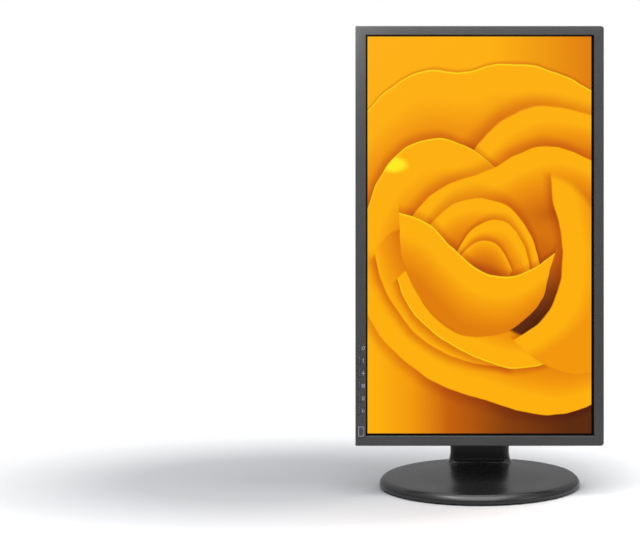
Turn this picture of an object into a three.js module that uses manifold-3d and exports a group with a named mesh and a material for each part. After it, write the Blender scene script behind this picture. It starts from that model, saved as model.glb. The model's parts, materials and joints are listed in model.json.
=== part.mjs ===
// A desktop computer monitor: a 24 inch wide panel on a column stand with a round foot.
// Millimetres, +Z up, display facing -Y, origin under the middle of the foot on the table top.
// At rest the panel is turned upright (portrait) and leans back a few degrees.

import * as THREE from 'three';
import { mergeVertices } from 'three/addons/utils/BufferGeometryUtils.js';
import Module from 'manifold-3d';

const wasm = await Module();
wasm.setup();

// ---------------------------------------------------------------- driving dimensions

const GAP = 0.3; // running space between neighbouring pieces
const PAST = 1; // how far a cutting tool runs past the face it cuts
const BITE = 0.2; // how deep one shape sinks into another that it is joined to

const LEAN = THREE.MathUtils.degToRad(5); // the panel's lean back at rest
const PANEL_CENTRE = { y: -55, z: 348.5 }; // middle of the panel's front face
const TILT_REACH = 86; // from the panel's front face back to the tilt shaft

const FOOT = {
  radius: 138,
  underside: 2,
  wall: 2.4,
  rimWall: 3,
  rimTop: 5.4,
  rimRound: 8.4,
  rimSteps: 4,
  crownRadius: [118, 92, 75, 55], // the dome rises inside a flatter outer ring
  crownHeight: [15.2, 16.8, 18.8, 19.9],
  topHeight: 20.8,
  segments: 48,
};
const DISC_SEGMENTS = 40;
const TURNTABLE = { radius: 112, bottom: 2.4, top: 4, padRadius: 8, padRing: 100, padCount: 4 };
const GLIDE = { inner: 92, outer: 104 };
const WEIGHT = { radius: 124, bottom: 6.6, top: 9.8 };
const HUB = { radius: 10, head: 16, headTop: 12.6 };
const STOP = { ring: 70, width: 6, swing: THREE.MathUtils.degToRad(45), slack: 0.4 };
const FOOT_SCREW = { x: 22, y: 85, hole: 2.4, shank: 2, head: 4, headDepth: 2.4 };

const COLUMN = {
  width: 83,
  front: 60,
  back: 104,
  split: 84,
  bottom: 14,
  top: 414,
  capTop: 422,
  wall: 2.2,
  corner: 10,
  flare: 7,
  collarTop: 26.4,
  lip: 0.9,
};
const CAP = { round: 3, chamfer: 0.9, plug: 7, plugWall: 2.5 };
const SLOT = { width: 34, bottom: 226, top: 384 };
const CLIP = {
  bottom: 112,
  top: 130,
  outer: 15,
  inner: 12.6,
  mouthHalf: 4.5,
  mouthFrom: 5,
  padHalf: 16,
  pad: 2,
};
const RAIL = { width: 70, front: 70, back: 100, wall: 2, top: 405, footPlate: 3 };
const CARRIAGE = { width: 58.8, front: 74, back: 80, bottom: 300, top: 376, armHalf: 15, beamHalf: 9 };
const LUG = { from: 22.4, to: 25.4, half: 7, past: 6 };
const SHOE = { ahead: 2, behind: 8 };
const LIFT = {
  y: 88.7,
  z: 364,
  coil: 8.3,
  length: 40,
  pin: 3,
  pinHalf: 27,
  stripWidth: 36,
  stripTop: 403,
  strip: 0.4,
};

const BRACKET = { halfWidth: 34, halfHeight: 24, corner: 6, front: 61, back: 64, ear: 20, earThick: 3 };
const SHAFT = { radius: 5, half: 27, knuckle: 11, earRound: 13, capRadius: 8, cap: 3, washer: 12 };
const HEAD_COVER = {
  wall: 2,
  front: { y: 59.6, halfWidth: 40, halfHeight: 27, corner: 8 },
  middle: { y: 76, halfWidth: 38, halfHeight: 25, corner: 8 },
  back: { y: 97, halfWidth: 34, halfHeight: 19, corner: 7 },
};
const SPINDLE = { radius: 7, flange: 16, flangeTop: 56, end: 71.5 };
const SPRING_WASHER = { radius: 13, top: 2 };
const NUT = { radius: 11, end: 70.5 };
const PLATE = { half: 56, corner: 5, front: 50.3, back: 53.3, boltHalf: 50 };
const BOLT = { hole: 2.3, shank: 2, head: 4, headDepth: 2.4, tip: 44 };
const FINE_SEGMENTS = 12;

// The panel is described lying wide: x across, z up, y back from its front face.
const PANEL = {
  halfWidth: 280.35,
  halfHeight: 165.8,
  topCorner: 4,
  bottomCorner: 1.5,
  bezelDepth: 14,
  wall: 2.2,
  edge: 0.9,
  rimDepth: 22,
  rimRound: 3,
};
const OPENING = { left: -268.15, right: 267.15, bottom: -151.9, top: 153, lip: 1.2 };
const MODULE = { left: -273.5, right: 272.5, bottom: -155.6, top: 157, depth: 12.6, frame: 1.1 };
const CELL = { margin: 1.4, depth: 1.9 };
const SHEETS = { from: 0.3, to: 1.3 }; // depths behind the cell
const GUIDE = { from: 1.6, to: 5.6, margin: 1.6, foot: 3.4, stripFoot: 1.4 };
const TRAY = { reach: 1, corner: 3, front: 12.8, back: 13.1 };
const BUMP = {
  foot: { halfWidth: 176, halfHeight: 106, y: 30, corner: 14 },
  back: { halfWidth: 162, halfHeight: 101, y: 56, corner: 10 },
  face: { halfWidth: 159, halfHeight: 98, y: 58, corner: 9 },
  wall: 2.4,
  recessHalf: 60,
  recessFloor: 50,
  recessCorner: 5,
};
const VENTS = { count: 15, first: -126, pitch: 18, width: 3, y: [35, 49], height: 30 };
const LOCK_SLOT = { width: 7, y: [36, 48], height: 3, inset: 8, z: -60 };
const SHIELD = { left: -96, right: 150, halfHeight: 92, front: 15.6, back: 46.6, sheet: 1 };
const CARRIER = { left: -100, right: 154, halfHeight: 94, front: 13.4, back: 14.6, postRadius: 3 };

// The boards: each part on a board is centred on (x, z) and rises to a depth of top.
const MAIN_BOARD = {
  x: [2, 146],
  y: [29, 30.6],
  z: [-88, 20],
  posts: [[8, -80], [140, -80], [8, 14], [140, 14]],
  chip: { width: 34, height: 34, x: 70, z: -30, top: 33 },
  cooler: { width: 26, height: 26, x: 70, z: -30, top: 42 },
  memory: { width: 16, height: 10, x: 30, z: -20, top: 32.4 },
  connector: { width: 30, height: 7, x: 110, z: 12, top: 36 },
};
const POWER_BOARD = {
  x: [-94, -8],
  y: [19, 20.6],
  z: [-88, 88],
  posts: [[-88, -80], [-16, -80], [-88, 80], [-16, 80]],
  transformer: { width: 34, height: 30, x: -50, z: -10, top: 40 },
  heatSink: { width: 8, height: 50, x: -80, z: 20, top: 36 },
  capacitors: [
    { radius: 9, x: -76, z: -56, top: 43 },
    { radius: 6, x: -28, z: 40, top: 38 },
    { radius: 6, x: -28, z: 58, top: 38 },
  ],
};
const TIMING_BOARD = {
  width: 230,
  height: 24,
  z: 126,
  y: [14.9, 16.5],
  chip: { width: 22, height: 16, x: -30, z: 126, top: 18.6 },
  connector: { width: 40, height: 6, x: 60, z: 120, top: 20.6 },
};
const KEY_BOARD = {
  x: [140, 272],
  y: [6, 7.2],
  z: [-163.2, -156.6],
  dome: { width: 5, height: 3, z: -160, front: 4.4 },
};

// The sockets look down; windows are the openings they are reached through.
const SOCKET_FACE = -101.4;
const POWER_INLET = {
  x: [-138, -110],
  y: [32.5, 52.5],
  depth: 26,
  wall: 2,
  mouth: 20,
  pin: [7, 21],
  pinHalf: [1, 2],
  pins: [[-7, 2.5], [0, -2.5], [7, 2.5]],
};
const VIDEO_SOCKET = {
  flangeY: [32.3, 44.7],
  flangeDepth: 1.6,
  bodyInset: 2,
  bodyY: [33, 44],
  bodyTop: -84,
  shellY: [34.4, 42.6],
  set: 5,
};
const DIGITAL_SOCKET = { x: 39, width: 38, shell: 25 };
const ANALOGUE_SOCKET = { x: 85.5, width: 31, shell: 17 };
const SOUND_SOCKET = {
  x: [115, 124],
  y: [32, 41],
  top: -86,
  collar: 3.6,
  collarTop: -95,
  bore: 1.8,
  boreTop: -90,
};
const WINDOW_SLACK = 0.5;
const WINDOW_REACH = [-109.4, -96];

const KEYS = {
  count: 6,
  first: 149.8,
  pitch: 16.75,
  width: 10,
  height: 3.6,
  z: -160.5,
  proud: 0.4,
  back: 3.4,
  flange: 0.9,
  flangeFront: 2.6,
};
const POWER_KEY = {
  x: 261,
  z: -158,
  width: 14.6,
  height: 9.6,
  capBack: 1.4,
  stemTop: -157.2,
  stemInset: 1,
  lift: 0.4,
};

// ---------------------------------------------------------------- solids

function solidOf(geometry) {
  const bare = geometry.clone();
  bare.deleteAttribute('normal');
  bare.deleteAttribute('uv');
  const merged = mergeVertices(bare, 1e-4);
  return new wasm.Manifold(new wasm.Mesh({
    numProp: 3,
    vertProperties: Float32Array.from(merged.attributes.position.array),
    triVerts: Uint32Array.from(merged.index.array),
  }));
}

function geometryOf(solid) {
  const mesh = solid.getMesh();
  const geometry = new THREE.BufferGeometry();
  geometry.setAttribute('position', new THREE.BufferAttribute(mesh.vertProperties, 3));
  geometry.setIndex(new THREE.BufferAttribute(mesh.triVerts, 1));
  geometry.computeVertexNormals();
  return geometry;
}

function join(...pieces) {
  return geometryOf(pieces.map(solidOf).reduce((whole, piece) => whole.add(piece)));
}

function cut(body, ...tools) {
  return geometryOf(tools.map(solidOf).reduce((rest, tool) => rest.subtract(tool), solidOf(body)));
}

// A block between two opposite corners, each [low, high] along x, y and z.
function block(x, y, z) {
  const geometry = new THREE.BoxGeometry(x[1] - x[0], y[1] - y[0], z[1] - z[0]);
  return geometry.translate((x[0] + x[1]) / 2, (y[0] + y[1]) / 2, (z[0] + z[1]) / 2);
}

// A block centred on one point of the xz plane, running from y[0] to y[1].
function centred(width, y, height, x = 0, z = 0) {
  return block([x - width / 2, x + width / 2], y, [z - height / 2, z + height / 2]);
}

// A round bar along one axis from span[0] to span[1]; a and b place it on the other two axes.
function bar(axis, radius, span, a = 0, b = 0, segments = 24) {
  const geometry = new THREE.CylinderGeometry(radius, radius, span[1] - span[0], segments);
  const middle = (span[0] + span[1]) / 2;
  if (axis === 'x') {
    return geometry.rotateZ(Math.PI / 2).translate(middle, a, b);
  }
  if (axis === 'y') {
    return geometry.translate(a, middle, b);
  }
  return geometry.rotateX(Math.PI / 2).translate(a, b, middle);
}

function ring(axis, outer, inner, span, a = 0, b = 0, segments = 24) {
  const bore = bar(axis, inner, [span[0] - PAST, span[1] + PAST], a, b, segments);
  return cut(bar(axis, outer, span, a, b, segments), bore);
}

// A rectangle with round corners; radii run bottom left, bottom right, top right, top left.
function roundedOutline(x, y, radii, steps = 4) {
  const [bottomLeft, bottomRight, topRight, topLeft] = Array.isArray(radii) ? radii : Array(4).fill(radii);
  const corners = [
    [x[0] + bottomLeft, y[0] + bottomLeft, bottomLeft, Math.PI],
    [x[1] - bottomRight, y[0] + bottomRight, bottomRight, 1.5 * Math.PI],
    [x[1] - topRight, y[1] - topRight, topRight, 0],
    [x[0] + topLeft, y[1] - topLeft, topLeft, 0.5 * Math.PI],
  ];
  const points = [];
  for (const [cx, cy, radius, start] of corners) {
    for (let step = 0; step <= steps; step += 1) {
      const angle = start + (0.5 * Math.PI * step) / steps;
      points.push(new THREE.Vector2(cx + radius * Math.cos(angle), cy + radius * Math.sin(angle)));
    }
  }
  return points;
}

// A closed skin through outlines of equal point counts, stacked upwards: [{ at, outline }, ...].
// A level's height is one number, or a function of the point for a level that isn't flat.
function loft(levels) {
  const count = levels[0].outline.length;
  const positions = [];
  const faces = [];
  for (const { at, outline } of levels) {
    const height = typeof at === 'function' ? at : () => at;
    outline.forEach((point) => positions.push(point.x, point.y, height(point)));
  }
  for (let level = 0; level + 1 < levels.length; level += 1) {
    for (let index = 0; index < count; index += 1) {
      const a = level * count + index;
      const b = level * count + ((index + 1) % count);
      faces.push(a, b, b + count, a, b + count, a + count);
    }
  }
  const top = (levels.length - 1) * count;
  for (let index = 1; index + 1 < count; index += 1) {
    faces.push(0, index + 1, index);
    faces.push(top, top + index, top + index + 1);
  }
  const geometry = new THREE.BufferGeometry();
  geometry.setAttribute('position', new THREE.Float32BufferAttribute(positions, 3));
  geometry.setIndex(faces);
  return geometry;
}

// The same skin for shapes drawn in the xz plane; levels run from the front (low y) to the back.
function depthLoft(levels) {
  const upward = levels.map(({ at, outline }) => ({ at: -at, outline })).reverse();
  return loft(upward).rotateX(Math.PI / 2);
}

function upright(outline, z) {
  return loft([{ at: z[0], outline }, { at: z[1], outline }]);
}

function slab(outline, y) {
  return depthLoft([{ at: y[0], outline }, { at: y[1], outline }]);
}

function rectangle(halfWidth, halfHeight, radii, steps) {
  return roundedOutline([-halfWidth, halfWidth], [-halfHeight, halfHeight], radii, steps);
}

// ---------------------------------------------------------------- finishes

function finish(color, roughness, metalness = 0) {
  return () => new THREE.MeshStandardMaterial({ color, roughness, metalness });
}

const FINISH = {
  bezelPlastic: finish(0x4c4d4f, 0.45),
  coverPlastic: finish(0x2c2d2f, 0.6),
  footPlastic: finish(0x3c3c3f, 0.35),
  columnPlastic: finish(0x151516, 0.4),
  keyPlastic: finish(0x3a3a3d, 0.5),
  insidePlastic: finish(0x1b1b1c, 0.7),
  whitePlastic: finish(0xe8e6e0, 0.6),
  screenGlass: finish(0xffb000, 0.35),
  clearAcrylic: finish(0xdde6ea, 0.1),
  steel: finish(0x8f9296, 0.35, 0.9),
  darkSteel: finish(0x55585c, 0.4, 0.9),
  springSteel: finish(0x777a80, 0.3, 1),
  aluminium: finish(0xc4c7ca, 0.35, 0.9),
  rubber: finish(0x1a1a1a, 0.9),
  board: finish(0x1f5a35, 0.55),
  nickel: finish(0xb8bbbf, 0.25, 1),
};

const monitor = new THREE.Group();
const leaning = new THREE.Group(); // the panel's leaning frame: y along its normal, origin at its front
leaning.position.set(0, PANEL_CENTRE.y, PANEL_CENTRE.z);
leaning.rotation.x = -LEAN;
const turned = new THREE.Group(); // the panel itself, drawn wide and turned upright
turned.rotation.y = Math.PI / 2;
leaning.add(turned);
monitor.add(leaning);

function place(parent, name, geometry, material) {
  const mesh = new THREE.Mesh(geometry, material());
  mesh.name = name;
  parent.add(mesh);
}

// ---------------------------------------------------------------- swivel foot

function footShell() {
  const { radius, underside, wall, rimWall, rimTop, rimRound, rimSteps } = FOOT;
  const { crownRadius, crownHeight, topHeight } = FOOT;
  const profile = [new THREE.Vector2(radius, underside), new THREE.Vector2(radius, rimTop)];
  for (let step = 1; step <= rimSteps; step += 1) {
    const angle = (0.5 * Math.PI * step) / rimSteps;
    const out = radius - rimRound * (1 - Math.cos(angle));
    profile.push(new THREE.Vector2(out, rimTop + rimRound * Math.sin(angle)));
  }
  crownRadius.forEach((r, index) => profile.push(new THREE.Vector2(r, crownHeight[index])));
  profile.push(new THREE.Vector2(0, topHeight));
  profile.push(new THREE.Vector2(0, topHeight - wall));
  [...crownRadius].reverse().forEach((r, index) => {
    profile.push(new THREE.Vector2(r, crownHeight[crownRadius.length - 1 - index] - wall));
  });
  profile.push(new THREE.Vector2(radius - rimWall, rimTop));
  profile.push(new THREE.Vector2(radius - rimWall, underside));
  profile.push(profile[0].clone());
  return new THREE.LatheGeometry(profile, FOOT.segments).rotateX(Math.PI / 2);
}

function columnOutline(grow) {
  const halfWidth = COLUMN.width / 2 + grow;
  const y = [COLUMN.front - grow, COLUMN.back + grow];
  return roundedOutline([-halfWidth, halfWidth], y, COLUMN.corner + grow);
}

// How high the foot's upper face is at a point.
function crownHeight(point) {
  const rim = FOOT.radius - FOOT.rimRound;
  const radii = [rim, ...FOOT.crownRadius, 0];
  const heights = [FOOT.rimTop + FOOT.rimRound, ...FOOT.crownHeight, FOOT.topHeight];
  const out = Math.min(point.length(), rim);
  const inner = radii.findIndex((radius, index) => index > 0 && radius <= out);
  const share = (out - radii[inner]) / (radii[inner - 1] - radii[inner]);
  return THREE.MathUtils.lerp(heights[inner], heights[inner - 1], share);
}

// The collar flares from the foot's crown up around the column with a hollow round.
function collar() {
  const { flare, collarTop, lip } = COLUMN;
  const sunk = (point) => crownHeight(point) - FOOT.wall / 2;
  const levels = [{ at: sunk, outline: columnOutline(flare + lip) }];
  const steps = 4;
  for (let step = 0; step <= steps; step += 1) {
    const angle = (0.5 * Math.PI * step) / steps;
    const rise = 1 - Math.cos(angle);
    levels.push({
      at: (point) => THREE.MathUtils.lerp(crownHeight(point), collarTop, rise),
      outline: columnOutline(flare * (1 - Math.sin(angle)) + lip),
    });
  }
  return loft(levels);
}

function addFoot() {
  const well = upright(columnOutline(GAP), [0, COLUMN.collarTop + PAST]);
  const shell = cut(join(footShell(), collar()), well);
  place(monitor, 'foot_shell', shell, FINISH.footPlastic);

  const arc = new THREE.Shape();
  const reach = STOP.width / 2 + STOP.slack;
  const swing = STOP.swing + Math.asin(reach / STOP.ring);
  arc.absarc(0, 0, STOP.ring + reach, -Math.PI / 2 - swing, -Math.PI / 2 + swing, false);
  arc.absarc(0, 0, STOP.ring - reach, -Math.PI / 2 + swing, -Math.PI / 2 - swing, true);
  const through = { depth: FOOT.topHeight, bevelEnabled: false, curveSegments: 10 };
  const stopSlot = new THREE.ExtrudeGeometry(arc, through);
  const disc = bar('z', WEIGHT.radius, [WEIGHT.bottom, WEIGHT.top], 0, 0, DISC_SEGMENTS);
  const weight = cut(disc, hubHole(), stopSlot, ...footScrewHoles());
  place(monitor, 'foot_weight_plate', weight, FINISH.darkSteel);

  const glideSpan = [TURNTABLE.top + GAP, WEIGHT.bottom - GAP];
  const glide = ring('z', GLIDE.outer, GLIDE.inner, glideSpan, 0, 0, DISC_SEGMENTS);
  place(monitor, 'swivel_glide_ring', glide, FINISH.whitePlastic);
}

function hubHole() {
  return bar('z', HUB.radius + GAP, [0, FOOT.topHeight]);
}

function footScrewPlaces() {
  return [-FOOT_SCREW.x, FOOT_SCREW.x];
}

function footScrewHoles() {
  const { hole, y } = FOOT_SCREW;
  return footScrewPlaces().map((x) => bar('z', hole, [0, FOOT.topHeight], x, y, FINE_SEGMENTS));
}

function addTurntable() {
  const plate = bar('z', TURNTABLE.radius, [TURNTABLE.bottom, TURNTABLE.top], 0, 0, DISC_SEGMENTS);
  const half = STOP.width / 2;
  const tabSpan = [TURNTABLE.top - BITE, WEIGHT.top];
  const tab = block([-half, half], [-STOP.ring - half, -STOP.ring + half], tabSpan);
  place(monitor, 'turntable_plate', cut(join(plate, tab), hubHole()), FINISH.steel);

  const pin = bar('z', HUB.radius, [TURNTABLE.bottom, HUB.headTop]);
  const head = bar('z', HUB.head, [WEIGHT.top + GAP, HUB.headTop]);
  place(monitor, 'swivel_hub', join(pin, head), FINISH.steel);

  for (let index = 0; index < TURNTABLE.padCount; index += 1) {
    const angle = Math.PI / 4 + (2 * Math.PI * index) / TURNTABLE.padCount;
    const x = TURNTABLE.padRing * Math.cos(angle);
    const y = TURNTABLE.padRing * Math.sin(angle);
    const pad = bar('z', TURNTABLE.padRadius, [0, TURNTABLE.bottom - GAP], x, y);
    place(monitor, `rubber_foot_${index + 1}`, pad, FINISH.rubber);
  }
}

// ---------------------------------------------------------------- column

function addColumn() {
  const inner = upright(columnOutline(-COLUMN.wall), [COLUMN.bottom - PAST, COLUMN.top + PAST]);
  const tube = cut(upright(columnOutline(0), [COLUMN.bottom, COLUMN.top]), inner);
  const across = [-COLUMN.width, COLUMN.width];
  const allHeights = [0, COLUMN.capTop];
  const halfSlot = SLOT.width / 2;
  const frontWall = [COLUMN.front - PAST, COLUMN.front + COLUMN.wall + PAST];
  const slot = block([-halfSlot, halfSlot], frontWall, [SLOT.bottom, SLOT.top]);
  const frontHalf = cut(tube, block(across, [COLUMN.split, COLUMN.back + PAST], allHeights), slot);
  const backHalf = cut(tube, block(across, [0, COLUMN.split + GAP], allHeights));
  place(monitor, 'column_front_cover', frontHalf, FINISH.columnPlastic);
  place(monitor, 'column_back_cover', backHalf, FINISH.columnPlastic);

  const cap = loft([
    { at: COLUMN.top + GAP, outline: columnOutline(0) },
    { at: COLUMN.capTop - CAP.round, outline: columnOutline(0) },
    { at: COLUMN.capTop - CAP.chamfer, outline: columnOutline(-CAP.chamfer) },
    { at: COLUMN.capTop, outline: columnOutline(-CAP.round) },
  ]);
  const plugFoot = COLUMN.top - CAP.plug;
  const plug = upright(columnOutline(-COLUMN.wall - GAP), [plugFoot, COLUMN.top + GAP + BITE]);
  const hollowOutline = columnOutline(-COLUMN.wall - CAP.plugWall);
  const hollow = upright(hollowOutline, [plugFoot - PAST, COLUMN.capTop - CAP.round]);
  place(monitor, 'column_top_cap', cut(join(cap, plug), hollow), FINISH.columnPlastic);

  const half = RAIL.width / 2;
  const bottom = WEIGHT.top + GAP;
  const outer = block([-half, half], [RAIL.front, RAIL.back], [bottom, RAIL.top]);
  const bed = block(
    [-half + RAIL.wall, half - RAIL.wall],
    [RAIL.front - PAST, RAIL.back - RAIL.wall],
    [bottom + RAIL.footPlate, RAIL.top + PAST],
  );
  place(monitor, 'column_rail', cut(outer, bed, ...footScrewHoles()), FINISH.steel);

  footScrewPlaces().forEach((x, index) => {
    const { y, shank, head, headDepth } = FOOT_SCREW;
    const seat = bottom + RAIL.footPlate + GAP;
    const stem = bar('z', shank, [WEIGHT.bottom, seat + BITE], x, y, FINE_SEGMENTS);
    const top = bar('z', head, [seat, seat + headDepth], x, y, FINE_SEGMENTS);
    place(monitor, `foot_screw_${index + 1}`, join(stem, top), FINISH.nickel);
  });
}

// A split loop on the column's back that holds the cables.
function addCableClip() {
  const { bottom, top, outer, inner, mouthHalf, mouthFrom, padHalf } = CLIP;
  const z = [bottom, top];
  const padY = COLUMN.back + GAP;
  const centre = padY + outer + GAP + BITE;
  const pad = block([-padHalf, padHalf], [padY, padY + CLIP.pad], z);
  const loop = ring('z', outer, inner, z, 0, centre, 28);
  const mouthY = [centre + mouthFrom, centre + outer + PAST];
  const mouth = block([-mouthHalf, mouthHalf], mouthY, [bottom - PAST, top + PAST]);
  place(monitor, 'cable_clip', cut(join(pad, loop), mouth), FINISH.columnPlastic);
}

// ---------------------------------------------------------------- height carriage

const tiltShaft = {
  y: PANEL_CENTRE.y + TILT_REACH * Math.cos(LEAN),
  z: PANEL_CENTRE.z - TILT_REACH * Math.sin(LEAN),
};

function addCarriage() {
  const half = CARRIAGE.width / 2;
  const arm = CARRIAGE.armHalf;
  const back = [CARRIAGE.front, CARRIAGE.back];
  const plate = block([-half, half], back, [CARRIAGE.bottom, CARRIAGE.top]);
  const beamZ = [tiltShaft.z - CARRIAGE.beamHalf, tiltShaft.z + CARRIAGE.beamHalf];
  const beam = block([-arm, arm], [tiltShaft.y, CARRIAGE.front + BITE], beamZ);
  const knuckle = bar('x', SHAFT.knuckle, [-arm, arm], tiltShaft.y, tiltShaft.z);
  const lugs = [-1, 1].map((side) => {
    const x = [side * LUG.from, side * LUG.to].sort((a, b) => a - b);
    return block(x, [CARRIAGE.back - BITE, LIFT.y + LUG.past], [LIFT.z - LUG.half, LIFT.z + LUG.half]);
  });
  const bore = bar('x', SHAFT.radius + GAP, [-half, half], tiltShaft.y, tiltShaft.z);
  const pinHole = bar('x', LIFT.pin + GAP, [-half, half], LIFT.y, LIFT.z);
  const carriage = cut(join(plate, beam, knuckle, ...lugs), bore, pinHole);
  place(monitor, 'height_carriage', carriage, FINISH.aluminium);

  const shoe = { low: half + GAP, high: RAIL.width / 2 - RAIL.wall - GAP };
  for (const [name, side] of [['left', -1], ['right', 1]]) {
    const x = [side * shoe.low, side * shoe.high].sort((a, b) => a - b);
    const shoeY = [CARRIAGE.front - SHOE.ahead, CARRIAGE.back + SHOE.behind];
    const strip = block(x, shoeY, [CARRIAGE.bottom, CARRIAGE.top]);
    place(monitor, `guide_shoe_${name}`, strip, FINISH.whitePlastic);
  }

  const coilHalf = LIFT.length / 2;
  const coil = ring('x', LIFT.coil, LIFT.pin + GAP, [-coilHalf, coilHalf], LIFT.y, LIFT.z);
  place(monitor, 'lift_spring_coil', coil, FINISH.springSteel);
  const pin = bar('x', LIFT.pin, [-LIFT.pinHalf, LIFT.pinHalf], LIFT.y, LIFT.z);
  place(monitor, 'lift_spring_pin', pin, FINISH.nickel);

  const stripHalf = LIFT.stripWidth / 2;
  const stripY = LIFT.y + LIFT.coil + GAP;
  const strip = block([-stripHalf, stripHalf], [stripY, stripY + LIFT.strip], [LIFT.z, LIFT.stripTop]);
  place(monitor, 'lift_spring_strip', strip, FINISH.springSteel);
}

// ---------------------------------------------------------------- tilt head

function addTiltHead() {
  const { halfWidth, halfHeight, corner, front, back, ear, earThick } = BRACKET;
  const plate = slab(rectangle(halfWidth, halfHeight, corner), [front, back]);
  const ears = [-1, 1].map((side) => {
    const x = [side * ear, side * (ear + earThick)].sort((a, b) => a - b);
    const web = block(x, [back - BITE, TILT_REACH], [-SHAFT.earRound, SHAFT.earRound]);
    return join(web, bar('x', SHAFT.earRound, x, TILT_REACH, 0));
  });
  const holes = [
    bar('y', SPINDLE.radius + GAP, [front - PAST, back + PAST]),
    bar('x', SHAFT.radius + GAP, [-halfWidth, halfWidth], TILT_REACH, 0),
  ];
  place(leaning, 'tilt_bracket', cut(join(plate, ...ears), ...holes), FINISH.darkSteel);

  for (const [name, side] of [['left', -1], ['right', 1]]) {
    const x = [side * (CARRIAGE.armHalf + GAP), side * (ear - GAP)].sort((a, b) => a - b);
    const washer = ring('x', SHAFT.washer, SHAFT.radius + GAP, x, TILT_REACH, 0);
    place(leaning, `tilt_friction_washer_${name}`, washer, FINISH.springSteel);
  }

  const shell = (shrink) => [HEAD_COVER.front, HEAD_COVER.middle, HEAD_COVER.back].map((level) => ({
    at: level.y,
    outline: rectangle(level.halfWidth - shrink, level.halfHeight - shrink, level.corner - shrink),
  }));
  const hollow = shell(HEAD_COVER.wall);
  hollow[0].at -= PAST;
  hollow[2].at += PAST;
  place(leaning, 'head_cover', cut(depthLoft(shell(0)), depthLoft(hollow)), FINISH.columnPlastic);

  const rod = bar('x', SHAFT.radius, [-SHAFT.half, SHAFT.half], tiltShaft.y, tiltShaft.z);
  const cap = bar('x', SHAFT.capRadius, [SHAFT.half - SHAFT.cap, SHAFT.half], tiltShaft.y, tiltShaft.z);
  place(monitor, 'tilt_shaft', join(rod, cap), FINISH.nickel);
}

// ---------------------------------------------------------------- turning plate

function boltPlaces() {
  return [[-1, -1], [1, -1], [1, 1], [-1, 1]].map(([x, z]) => [x * PLATE.boltHalf, z * PLATE.boltHalf]);
}

function boltHoles(y) {
  return boltPlaces().map(([x, z]) => bar('y', BOLT.hole, y, x, z, FINE_SEGMENTS));
}

function addPivot() {
  const plate = slab(rectangle(PLATE.half, PLATE.half, PLATE.corner), [PLATE.front, PLATE.back]);
  const holes = boltHoles([PLATE.front - PAST, PLATE.back + PAST]);
  place(turned, 'pivot_plate', cut(plate, ...holes), FINISH.steel);

  const flange = bar('y', SPINDLE.flange, [PLATE.back + GAP, SPINDLE.flangeTop]);
  const stem = bar('y', SPINDLE.radius, [SPINDLE.flangeTop - BITE, SPINDLE.end]);
  place(turned, 'pivot_spindle', join(flange, stem), FINISH.nickel);
  const washerBack = BRACKET.back + SPRING_WASHER.top;
  const washer = ring('y', SPRING_WASHER.radius, SPINDLE.radius + GAP, [BRACKET.back + GAP, washerBack]);
  place(turned, 'pivot_spring_washer', washer, FINISH.springSteel);
  const nut = bar('y', NUT.radius, [washerBack + GAP, NUT.end], 0, 0, 6);
  const nutBore = bar('y', SPINDLE.radius + GAP, [BRACKET.back, SPINDLE.end + PAST]);
  place(turned, 'pivot_nut', cut(nut, nutBore), FINISH.nickel);

  boltPlaces().forEach(([x, z], index) => {
    const seat = PLATE.back + GAP;
    const head = bar('y', BOLT.head, [seat, seat + BOLT.headDepth], x, z, FINE_SEGMENTS);
    const shank = bar('y', BOLT.shank, [BOLT.tip, seat + BITE], x, z, FINE_SEGMENTS);
    place(turned, `plate_screw_${index + 1}`, join(head, shank), FINISH.nickel);
  });
}

// ---------------------------------------------------------------- panel casing

function panelOutline(shrink) {
  const bottom = Math.max(PANEL.bottomCorner - shrink, 0.5);
  const top = Math.max(PANEL.topCorner - shrink, 0.5);
  return rectangle(PANEL.halfWidth - shrink, PANEL.halfHeight - shrink, [bottom, bottom, top, top], 3);
}

function openingOutline(shrink) {
  const x = [OPENING.left + shrink, OPENING.right - shrink];
  return roundedOutline(x, [OPENING.bottom + shrink, OPENING.top - shrink], 0.5, 1);
}

function keyPlaces() {
  return Array.from({ length: KEYS.count }, (_, index) => KEYS.first + index * KEYS.pitch);
}

function addBezel() {
  const { bezelDepth, wall } = PANEL;
  const body = depthLoft([
    { at: 0, outline: panelOutline(PANEL.edge) },
    { at: PANEL.edge, outline: panelOutline(0) },
    { at: bezelDepth, outline: panelOutline(0) },
  ]);
  const hollow = slab(panelOutline(wall), [wall, bezelDepth + PAST]);
  const slope = OPENING.lip / wall;
  const window = depthLoft([
    { at: -PAST, outline: openingOutline(-PAST * slope) },
    { at: wall + PAST, outline: openingOutline((wall + PAST) * slope) },
  ]);
  const through = [-PAST, wall + PAST];
  const keyHoles = keyPlaces().map((x) => (
    centred(KEYS.width + 2 * GAP, through, KEYS.height + 2 * GAP, x, KEYS.z)
  ));
  const powerHole = centred(
    POWER_KEY.width + 2 * GAP, through, POWER_KEY.height + 2 * GAP, POWER_KEY.x, POWER_KEY.z,
  );
  place(turned, 'front_bezel', cut(body, hollow, window, powerHole, ...keyHoles), FINISH.bezelPlastic);
}

function backSkin(shrink, frontY) {
  const { rimDepth, rimRound } = PANEL;
  const level = ({ halfWidth, halfHeight, y, corner }) => ({
    at: y - shrink,
    outline: rectangle(halfWidth - shrink, halfHeight - shrink, corner, 3),
  });
  return depthLoft([
    { at: frontY, outline: panelOutline(shrink) },
    { at: rimDepth - rimRound - shrink, outline: panelOutline(shrink) },
    { at: rimDepth - shrink, outline: panelOutline(rimRound + shrink) },
    level(BUMP.foot),
    level(BUMP.back),
    level(BUMP.face),
  ]);
}

function ventSlots() {
  const { count, first, pitch, width, y, height } = VENTS;
  const places = Array.from({ length: count }, (_, index) => first + index * pitch);
  return places.map((x) => centred(width, y, height, x, BUMP.foot.halfHeight));
}

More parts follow.
